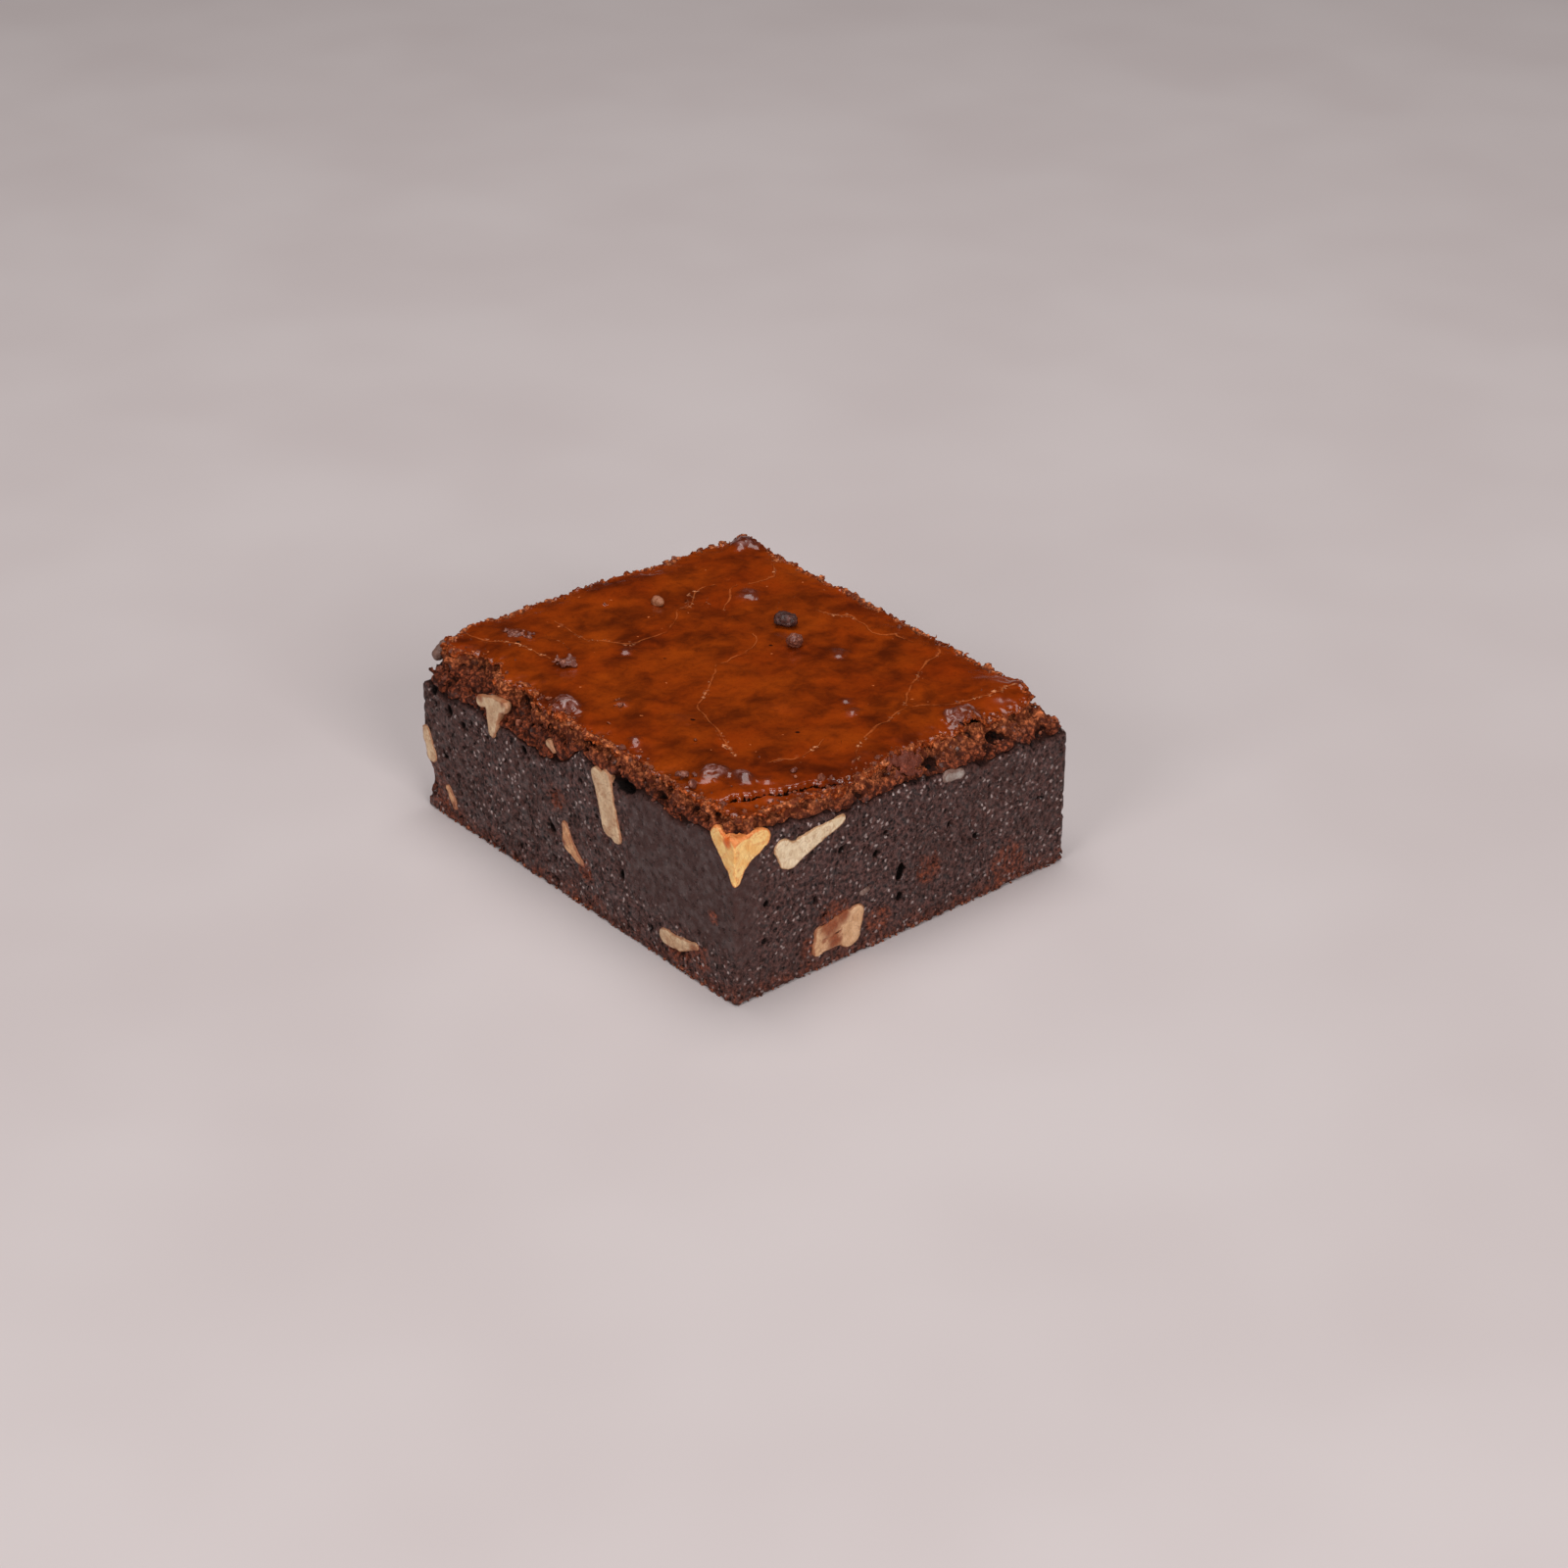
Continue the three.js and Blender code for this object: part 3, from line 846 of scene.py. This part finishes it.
def lump(name, eggs):
    low = [min(egg[0][n] - max(egg[1]) for egg in eggs) - 0.6 for n in range(3)]
    high = [max(egg[0][n] + max(egg[1]) for egg in eggs) + 0.6 for n in range(3)]
    low[2] += TOP - 4.0
    high[2] = min(high[2] + TOP, TOP + 0.3)
    high[0] = min(high[0], HALF_X + 0.4)

    def formula(place):
        x, y, z = split(place)
        above = join(x, y, z - slab_height(x, y))
        outside = FAR
        for centre, half, turn_y, turn_z in eggs:
            angles = (0.0, math.radians(turn_y), math.radians(turn_z))
            settings = {"rotation_type": "EULER_XYZ", "invert": True}
            inputs = {"Vector": above, "Center": centre, "Rotation": angles}
            turned = Sock.make(place.tree, "ShaderNodeVectorRotate", settings, inputs)
            share = vector_math(moved(turned, *(-c for c in centre)), "DIVIDE", half)
            one = (length(share) - 1.0) * min(half)
            outside = one.math("SMOOTH_MIN", outside, 0.2)
        grain = cells(stirred(place, 0.8, 0.2), 0.8)[0]
        ragged = ripple(place, 1.3, 3.0) * 0.16 + (grain - 0.25) * 0.4
        limit = larger(z - TOP + 0.05, x - HALF_X - 0.2)
        return -larger(outside + ragged, limit)

    return solid(name, low, high, 0.16, formula, 60)


lumps = {name: lump(name, eggs) for name, eggs in LUMPS.items()}

# %% [markdown]
# ## Loose crumbs
#
# Cutting leaves grit: sandy crumbs a few tenths of a millimetre across, lying along the
# broken edge of the crust and clinging round the foot. They start as round balls of twenty
# faces, are stretched and turned at random, and are then dented all together. Those on the
# rim are each dropped from above until they touch the cake; those at the foot are set against the
# cut faces.

# %% Scatter the crumbs
ON_THE_RIM = 260
IN_ALL = 420
chance = random.Random(11)


def top_of_cake(x, y):
    """Height of the cake at a place, in metres, or None beside it."""
    heights = []
    for piece in (crust, band_piece, crumb):
        hit = piece.ray_cast((x, y, 0.05), (0.0, 0.0, -1.0))
        if hit[0]:
            heights.append(hit[1].z)
    return max(heights) if heights else None


def crumb_place():
    """A place near one of the sides, in mm, mostly near the two cut faces."""
    in_from_face = 0.4 + abs(chance.gauss(0.0, 1.3))
    if chance.random() < 0.12:
        in_from_face += chance.uniform(0.0, 9.0)
    side = chance.choices(("left", "right", "far", "back"), (46, 34, 10, 10))[0]
    along_x = chance.uniform(-HALF_X + 0.6, HALF_X - 0.6)
    along_y = chance.uniform(-HALF_Y + 0.6, HALF_Y - 0.6)
    if side == "left":
        return along_x, -HALF_Y + in_from_face
    if side == "right":
        return HALF_X - in_from_face - 0.6, along_y
    if side == "far":
        return -HALF_X + in_from_face, along_y
    return along_x, HALF_Y - in_from_face


def add_crumb(x, y, z, radius):
    turn = [chance.uniform(0.0, 6.28) for n in range(3)]
    stretch = [chance.uniform(0.6, 1.4) for n in range(3)]
    bpy.ops.mesh.primitive_ico_sphere_add(
        subdivisions=1, radius=radius, location=(x, y, z), rotation=turn, scale=stretch
    )


bpy.ops.object.select_all(action="DESELECT")
add_crumb(-0.02, 0.0, 0.027, 0.0003)
loose = bpy.context.object
loose.name = "loose_crumbs"
bpy.ops.object.transform_apply(location=True, rotation=True, scale=True)
spots = []
while len(spots) < ON_THE_RIM:
    x, y = crumb_place()
    radius = min(0.5, 0.12 + chance.expovariate(11.0))
    height = top_of_cake(x / 1000, y / 1000)
    if height and 0.022 < height < (TOP - radius * 1.6) / 1000:
        spots.append((x / 1000, y / 1000, height + radius * 0.0004, radius / 1000))
while len(spots) < IN_ALL:
    radius = min(0.4, 0.12 + chance.expovariate(14.0))
    along = chance.uniform(-HALF_Y, HALF_X * 1.2)
    on_left = chance.random() < 0.6
    x = chance.uniform(-HALF_X, HALF_X) if on_left else HALF_X + 0.05
    y = -HALF_Y - 0.05 if on_left else chance.uniform(-HALF_Y, HALF_Y)
    spots.append((x / 1000, y / 1000, radius / 1000 * chance.uniform(0.5, 2.5), radius / 1000))
bpy.ops.object.mode_set(mode="EDIT")
for x, y, z, radius in spots:
    add_crumb(x, y, z, radius)
bpy.ops.mesh.select_all(action="SELECT")
bpy.ops.transform.vertex_random(offset=0.00012, seed=4)
bpy.ops.object.mode_set(mode="OBJECT")
for corner in loose.data.vertices:
    corner.co.x = max(-0.0376, min(0.0376, corner.co.x))
    corner.co.y = max(-0.0316, min(0.0316, corner.co.y))
    corner.co.z = max(0.0, corner.co.z)
print("loose crumbs:", len(spots) + 1, "with", triangles(loose), "triangles")

# %% [markdown]
# ## Finishes
#
# Every finish is worked out from the place on the piece, in millimetres, so it stays on the
# piece from any side. Colours are chosen as the eye sees them on the real cake and turned
# into the renderer's linear values by one function.


# %% Tools for finishes
def tint(red, green, blue):
    """A colour given in the usual 0 to 255, as linear values."""
    def linear(level):
        share = level / 255
        return share / 12.92 if share <= 0.04045 else ((share + 0.055) / 1.055) ** 2.4
    return (linear(red), linear(green), linear(blue), 1.0)


def blend_colour(a, b, share):
    settings = {"data_type": "RGBA", "blend_type": "MIX"}
    inputs = {"Factor_Float": share, "A_Color": a, "B_Color": b}
    mixed = Sock.make(share.tree, "ShaderNodeMix", settings, inputs)
    outputs = mixed.socket.node.outputs
    return Sock(next(socket for socket in outputs if socket.identifier == "Result_Color"))


def finish(name, **plain):
    """A new material: its tree, its place in mm, and its main shader."""
    material = bpy.data.materials.new(name)
    material.use_nodes = True
    tree = material.node_tree
    shader = tree.nodes["Principled BSDF"]
    for socket, value in plain.items():
        shader.inputs[socket.replace("_", " ")].default_value = value
    coordinates = Sock.make(tree, "ShaderNodeTexCoord", None, None, 3)
    return material, tree, vector_math(coordinates, "SCALE", 1000.0), shader


def feed(tree, value, shader, socket):
    tree.links.new(value.socket, shader.inputs[socket])


def bump(tree, height, distance, strength=1.0):
    """A normal from a height in mm times distance."""
    inputs = {"Height": height, "Distance": distance / 1000, "Strength": strength}
    return Sock.make(tree, "ShaderNodeBump", None, inputs)


def attribute(tree, name, output=2):
    """A mark stored on the mesh: its number, or its vector with output 1."""
    return Sock.make(tree, "ShaderNodeAttribute", {"attribute_name": name}, None, output)


def wear(piece, material):
    piece.data.materials.clear()
    piece.data.materials.append(material)


# %% [markdown]
# The cut crumb is nearly black, but moist. Its glints are painted into its colour as cold
# grey highlights, most of them in patches and towards the top. Pores and hollows are painted
# darker still, as shade. Where the crumb was torn rather than cut it is dry, and shows its
# red-brown.

# %% Crumb finish
# Red-brown torn places in the cut faces: x, y, z and radius, in mm.
TORN_PLACES = [
    (-36.5, -31.5, 5.0, 4.6),
    (-33.0, -31.5, 1.5, 3.4),
    (24.6, -31.5, 3.0, 3.4),
    (29.5, -31.5, 4.4, 2.4),
    (-3.6, -31.5, 15.5, 2.2),
    (2.8, -31.5, 6.2, 2.0),
    (32.6, -31.5, 12.4, 1.2),
    (37.5, -13.6, 7.6, 3.0),
    (37.5, -18.0, 4.4, 1.6),
    (37.5, -5.2, 4.0, 2.6),
    (37.5, 4.4, 8.9, 2.6),
    (37.5, 20.0, 3.5, 4.0),
]


def crumb_finish():
    material, tree, place, shader = finish(
        "dark_crumb", Specular_IOR_Level=0.12, Coat_IOR=1.6, Coat_Roughness=0.2
    )
    band = attribute(tree, "band")
    depth = attribute(tree, "depth")
    x, y, z = split(place)
    smear = smeared(x, y, z)
    ragged = stirred(place, 0.7, 0.2)
    patches = rise(ripple(place, 7.0, 3.0), -0.8, 0.9)
    grain = ripple(place, 0.6, 4.0, 0.7)
    speckle = rise(grain, -0.7, 1.0)
    pit, chance = cells(ragged, 0.95)
    pit = rise(pit, 0.14 + chance * 0.36, 0.08) * rise(chance, 0.25, 0.4)
    hollow = rise(depth + grain * 0.06, 0.12, 0.6)

    torn = rise(z + ripple(place, 2.5, 3.0) * 1.8, 3.6, 0.2) * 0.7
    for at_x, at_y, at_z, radius in TORN_PLACES:
        away = length(moved(place, -at_x, -at_y, -at_z)) / radius
        torn = larger(torn, rise(away + ripple(place, 1.5, 3.0) * 0.3, 1.15, 0.6))

    # Painted shade: pores, and places that lie deep under the flat of the face, are coloured
    # near-black.
    dark = larger(pit * (0.95 - smear * 0.75), hollow * (0.97 - torn * 0.9))
    face = blend_colour(tint(26, 16, 15), tint(126, 86, 80), speckle)
    face = blend_colour(face, tint(70, 40, 32), patches * 0.35)
    face = blend_colour(face, tint(66, 44, 41), smear * 0.85)
    red = blend_colour(tint(74, 30, 18), tint(164, 84, 56), speckle)
    colour = blend_colour(face, red, torn * (0.3 + 0.7 * speckle))
    colour = blend_colour(colour, tint(62, 26, 15), band)
    colour = blend_colour(colour, tint(14, 7, 5), dark * (1.0 - 0.6 * band))
    # Painted highlights: small cold grey glints are put into the base colour, stronger in patches
    # and towards the top, and the same spots are raised a little in the bump.
    glint_away, chance = cells(stirred(moved(place, 3.0, 4.0, 5.0), 0.5, 0.14), 0.95)
    painted_glints = rise(glint_away, 0.34, 0.12) * rise(chance, 0.35, 0.5)
    painted_glints = painted_glints * (1.0 - dark) * (1.0 - smear * 0.9) * (1.0 - band)
    glint_zones = rise(ripple(moved(place, 0.0, 9.0, 0.0), 12.0), -0.8, 0.8)
    glint_zones = larger(glint_zones * 0.7, rise(z, 19.0, 25.0))
    colour = blend_colour(colour, tint(226, 200, 194), painted_glints * (0.25 + glint_zones * 0.7))
    feed(tree, colour, shader, "Base Color")
    feed(tree, 0.5 + dark * 0.3, shader, "Roughness")
    moist = (1.0 - dark) * (1.0 - band) * rise(ripple(place, 1.1, 2.0), -0.5, 0.9)
    feed(tree, moist * 0.5, shader, "Coat Weight")

    streaks = ripple(vector_math(place, "MULTIPLY", (0.25, 1.0, 1.0)), 1.1, 3.0) * smear
    height = grain * 0.2 * (1.0 - smear * 0.85) - pit * 0.3 + streaks * 0.05 + painted_glints * 0.1
    feed(tree, bump(tree, height, 1.0), shader, "Normal")
    return material


# %% [markdown]
# The torn band is the same crumb, dry and crusted with sugar towards the top. Its proud
# lumps are a sandy red-brown. The seams between its grains are painted darker, and every gap
# between the lumps is painted down to near black, as shade.

# %% Torn band finish
def granular(place, size):
    """Fused grains of about that size: 1 on a grain's crown, 0 in the seam beside it."""
    away = cells(stirred(place, size, size * 0.4), size * 1.2)[0]
    rough = ripple(place, size * 0.9, 4.0, 0.7)
    return rise(away / size - rough * 0.45, 1.0, -0.1)


def band_finish():
    material, tree, place, shader = finish(
        "torn_crumb", Specular_IOR_Level=0.1, Coat_Roughness=0.25
    )
    depth = attribute(tree, "depth")
    below = attribute(tree, "below")
    grains = granular(place, 0.62)
    spots = rise(ripple(place, 2.6, 3.0), -0.3, 0.8)
    sugared = rise(below, 4.2, 0.5)
    # Each grain's crown takes the sandy colour and the seam round it a darker one, painted shade.
    low = blend_colour(tint(52, 22, 14), tint(178, 88, 56), grains)
    high = blend_colour(tint(104, 42, 20), tint(240, 138, 84), grains)
    colour = blend_colour(low, high, sugared)
    colour = blend_colour(colour, tint(66, 28, 16), spots * 0.4)
    # Painted shade: places deep between the lumps fall off to near black.
    gap_shade = rise(depth + ripple(place, 0.8, 2.0) * 0.12, 0.3, 1.5)
    colour = blend_colour(colour, tint(16, 7, 4), gap_shade)
    feed(tree, colour, shader, "Base Color")
    feed(tree, 0.6 - grains * 0.15, shader, "Roughness")
    feed(tree, rise(spots, 0.7, 1.0) * 0.5 * (1.0 - gap_shade), shader, "Coat Weight")
    feed(tree, bump(tree, grains * 0.3, 1.0), shader, "Normal")
    return material


# %% [markdown]
# The crust is caramel seen through a glassy skin of sugar: deep orange-brown, darker where
# it is thick, with paler flecks. Flat parts mirror the dark room and stay saturated, and
# only the blisters tilt far enough to catch the lamps; their tops also carry painted grey
# sheen streaks in their colour. Its hair cracks and its torn edge are sandy and dull. Painted
# shade darkens the small holes, the groove by the sunk strip and the seams between the edge's
# grains.

# %% Crust finish
def crust_finish():
    material, tree, place, shader = finish(
        "glossy_crust",
        Roughness=0.55,
        Specular_IOR_Level=0.0,
        Coat_Weight=1.0,
        Coat_Roughness=0.2,
        Coat_IOR=1.5,
    )
    outline = attribute(tree, "outline")
    blister = attribute(tree, "blister")
    crack = length(attribute(tree, "crack", 1))
    flow = vector_math(place, "MULTIPLY", (1.0, 0.8, 1.0))
    cloud = rise(ripple(flow, 13.0, 4.0, 0.55), -0.9, 0.9)
    mottle = rise(ripple(stirred(flow, 3.0, 0.6), 5.0, 5.0, 0.6), -0.9, 0.9)
    grain = ripple(place, 0.5, 3.0, 0.65)
    colour = blend_colour(tint(74, 21, 2), tint(138, 47, 3), mottle)
    colour = blend_colour(colour, tint(158, 68, 8), cloud * (0.1 + mottle * 0.5))
    colour = blend_colour(colour, tint(80, 24, 2), rise(grain, 0.0, 1.2) * 0.45)
    dot_away, chance = cells(stirred(place, 0.6, 0.15), 2.1)
    dots = rise(dot_away, 0.22, 0.1) * rise(chance, 0.75, 0.8)
    colour = blend_colour(colour, tint(206, 116, 66), dots * 0.8)
    # Painted shade: a few small holes in the crust are coloured near-black.
    hole_away, chance = cells(moved(place, 50.0, 0.0, 0.0), 6.0)
    holes = rise(hole_away, 0.45, 0.2) * rise(chance, 0.7, 0.75)
    colour = blend_colour(colour, tint(40, 12, 5), holes)
    skin = rise(blister + grain * 0.1, 0.3, 1.3)
    # Painted sheen: on the blisters' tops, streaks of cold grey are put into the colour as the
    # lamps' highlights.
    sheen_streaks = rise(ripple(stirred(place, 1.2, 0.4), 1.3, 3.0, 0.65), -0.4, 0.9)
    colour = blend_colour(colour, tint(74, 32, 20), rise(blister, 0.1, 0.6) * 0.6)
    colour = blend_colour(colour, tint(176, 138, 134), skin * sheen_streaks * 0.6)

    broken_line = rise(ripple(place, 2.2, 3.0), -0.7, 0.3)
    hair = rise(crack + grain * 0.04, 0.19, 0.06) * broken_line
    flecks = rise(crack, 0.6, 0.25) * rise(ripple(place, 0.8, 3.0, 0.65), 0.15, 0.5)
    flecks = flecks * rise(ripple(moved(place, 20.0, 0.0, 0.0), 6.0), -0.1, 0.4)
    wide = rise(ripple(moved(place, 0.0, 60.0, 0.0), 5.0, 2.0), -0.6, 0.9) * 1.3
    edge = rise(outline + wide + ripple(place, 1.0, 4.0, 0.7) * 1.1, -0.5, 0.1)
    # The edge's grains are sandy on their crowns, with painted shade in the seams between them.
    grains = granular(place, 0.6)
    sandy = blend_colour(tint(96, 36, 14), tint(216, 108, 58), grains)
    colour = blend_colour(colour, tint(190, 100, 50), hair * 0.5)
    colour = blend_colour(colour, tint(222, 148, 104), flecks * 0.8)
    colour = blend_colour(colour, sandy, edge)
    # Painted shade: the groove at the foot of the sunk strip is coloured near-black.
    sunk = attribute(tree, "sunk")
    side = rise(sunk, 0.6, 0.9)
    colour = blend_colour(colour, tint(24, 8, 4), side)
    dull = larger(larger(edge, flecks), larger(hair * 0.5, dots))
    dull = larger(dull, side)
    feed(tree, colour, shader, "Base Color")
    feed(tree, 0.9 * (1.0 - dull), shader, "Coat Weight")

    wrinkles = ripple(place, 1.5, 4.0, 0.6) * (0.035 + skin * 0.09)
    height = wrinkles + grain * 0.012 - rise(crack, 0.35, 0.0) * 0.12 + flecks * 0.15
    height = height - holes * 0.2 + edge * grains * 0.3
    feed(tree, bump(tree, height, 1.0), shader, "Normal")
    return material


# %% [markdown]
# Lumps and loose crumbs are the torn crumb again, sandy, without the marks, with painted
# shade in the seams between their grains. The largest lump is as dark as the cut faces.

# %% Lump and loose crumb finishes
def lump_finish(name, seam, crown, shine):
    material, tree, place, shader = finish(
        name, Specular_IOR_Level=0.3, Coat_Weight=shine, Coat_Roughness=0.25
    )
    grains = granular(place, 0.55)
    spots = rise(ripple(place, 1.6, 3.0), -0.4, 0.8)
    # The seam colour is painted shade between the grains; the crown colour is the crumb's own.
    colour = blend_colour(seam, crown, grains * (0.45 + 0.55 * spots))
    feed(tree, colour, shader, "Base Color")
    feed(tree, 0.65 - grains * 0.2, shader, "Roughness")
    feed(tree, bump(tree, grains * 0.16, 1.0), shader, "Normal")
    return material


SANDY = lump_finish("sandy_crumb", tint(92, 38, 20), tint(196, 112, 74), 0.1)
PINKISH = lump_finish("sugared_crumb", tint(96, 44, 30), tint(190, 118, 92), 0.35)
DULL = lump_finish("dull_crust", tint(92, 38, 22), tint(144, 66, 40), 0.05)
DARK = lump_finish("dark_lump", tint(50, 22, 16), tint(112, 64, 54), 0.25)

# %% [markdown]
# Walnut flesh is cream, a little waxy, and mottled. The marks on each piece say how far a
# point lies inside the nut's own round outline, which draws the thin skin, and where the
# chocolate has stained it.

# %% Walnut finish
def walnut_finish(name, flesh, shade, skin):
    material, tree, place, shader = finish(name, IOR=1.45, Subsurface_Weight=0.0)
    inside = attribute(tree, "inside")
    brown = attribute(tree, "brown")
    mottle = rise(ripple(place, 1.6, 4.0, 0.6), -0.7, 0.8)
    colour = blend_colour(flesh, shade, mottle)
    veins = rise(abs(ripple(moved(place, 9.0, 0.0, 0.0), 1.9, 2.0)), 0.12, 0.02)
    colour = blend_colour(colour, skin, veins * 0.35)
    rim = rise(inside + ripple(place, 0.9, 3.0) * 0.12, 0.24, 0.04) * 0.75
    stain = rise(brown + ripple(place, 1.1, 3.0) * 0.15, 0.1, 1.1)
    colour = blend_colour(colour, skin, larger(rim, stain))
    feed(tree, colour, shader, "Base Color")
    feed(tree, 0.4 + mottle * 0.15, shader, "Roughness")
    feed(tree, bump(tree, ripple(place, 0.7, 4.0, 0.6) * 0.09, 1.0), shader, "Normal")
    return material


CREAM = walnut_finish("cream_walnut", tint(222, 190, 152), tint(190, 148, 112), tint(150, 86, 50))
PALE = walnut_finish("pale_walnut", tint(240, 216, 182), tint(214, 184, 146), tint(170, 112, 66))
GOLD = walnut_finish("golden_walnut", tint(252, 208, 134), tint(240, 176, 98), tint(214, 96, 24))
LOBED = walnut_finish("lobed_walnut", tint(228, 182, 140), tint(200, 150, 108), tint(138, 66, 30))
TAN = walnut_finish("skinned_walnut", tint(222, 168, 122), tint(190, 128, 86), tint(128, 62, 36))
GREY = walnut_finish("shaded_walnut", tint(170, 156, 148), tint(134, 112, 102), tint(100, 62, 48))
# The other pieces are cream.
NUT_FINISHES = {
    "walnut_skinned_sliver": TAN,
    "walnut_hollow_chip": TAN,
    "walnut_front_corner": GOLD,
    "walnut_pale_diagonal": PALE,
    "walnut_two_lobes": LOBED,
    "walnut_grey_chip": GREY,
    "walnut_fleck": GREY,
    "walnut_top_chip": TAN,
    "walnut_shoulder_chip": GREY,
}
SKINNED = ("walnut_skinned_sliver", "walnut_hollow_chip", "walnut_top_chip")

# %% Put the finishes on and tie the pieces to the model
CAKE_FINISHES = (
    (crumb, crumb_finish()),
    (band_piece, band_finish()),
    (crust, crust_finish()),
    (loose, SANDY),
    (lumps["dark_lump"], DARK),
    (lumps["crumb_lump"], PINKISH),
    (lumps["crust_flakes"], PINKISH),
    (lumps["rim_flake"], DULL),
)
for piece, material in CAKE_FINISHES:
    wear(piece, material)
    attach(piece, "root")
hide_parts("crumb")
for name, piece in nuts.items():
    wear(piece, NUT_FINISHES.get(name, CREAM))
    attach(piece, "root")
    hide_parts(name)
    "walnut_skin" if name in SKINNED else "walnut"
bpy.data.objects.remove(crack_drawing)

# %% [markdown]
# ## Floor, light and camera
#
# The cake stands on a plain pale floor. A wide soft light hangs overhead, and one large light
# on each side lights the cut faces, the right one brighter. Nothing bright stands opposite
# the camera, because the flat crust would mirror it and turn milky.


# %% Floor
def make_floor():
    bpy.ops.mesh.primitive_plane_add(size=6.0)
    floor = bpy.context.object
    floor.name = "floor"
    material, tree, place, shader = finish("pale_floor", Roughness=0.5, IOR=1.4)
    shade = rise(ripple(place, 60.0), -1.0, 1.0)
    colour = blend_colour(tint(196, 184, 183), tint(202, 191, 190), shade)
    feed(tree, colour, shader, "Base Color")
    wear(floor, material)


make_floor()


# %% Lights
def soft_light(name, place, aim, size_x, size_y, power):
    lamp = bpy.data.lights.new(name, "AREA")
    lamp.shape = "RECTANGLE"
    lamp.size = size_x
    lamp.size_y = size_y
    lamp.energy = power
    light = bpy.data.objects.new(name, lamp)
    light.location = place
    light.rotation_euler = (Vector(aim) - Vector(place)).to_track_quat("-Z", "Y").to_euler()
    bpy.context.scene.collection.objects.link(light)


soft_light("overhead", (-0.08, 0.06, 0.95), (0, 0, 0), 0.7, 0.7, 7.0)
soft_light("right", (1.10, -0.25, 0.60), (0, 0, 0.01), 0.5, 0.5, 9.0)
soft_light("left", (0.25, -1.10, 0.60), (0, 0, 0.01), 0.5, 0.5, 5.5)

world = bpy.data.worlds.new("studio")
world.use_nodes = True
world.node_tree.nodes["Background"].inputs["Color"].default_value = (0.016, 0.013, 0.012, 1.0)
world.node_tree.nodes["Background"].inputs["Strength"].default_value = 1.0
bpy.context.scene.world = world
bpy.context.scene.view_settings.view_transform = "Standard"


# %% Camera
CAMERA_AIM = Vector((-0.00712, 0.0145, 0.0))
CAMERA_DISTANCE = 0.5171


def make_camera():
    azimuth = math.radians(50.09)
    elevation = math.radians(29.16)
    back = Vector((
        math.sin(azimuth) * math.cos(elevation),
        -math.cos(azimuth) * math.cos(elevation),
        math.sin(elevation),
    ))
    camera_data = bpy.data.cameras.new("camera")
    camera_data.sensor_width = 36.0
    camera_data.lens = 76.5
    camera_data.clip_start = 0.01
    camera = bpy.data.objects.new("camera", camera_data)
    camera.location = CAMERA_AIM + back * CAMERA_DISTANCE
    camera.rotation_euler = (-back).to_track_quat("-Z", "Y").to_euler()
    bpy.context.scene.collection.objects.link(camera)
    bpy.context.scene.camera = camera


make_camera()
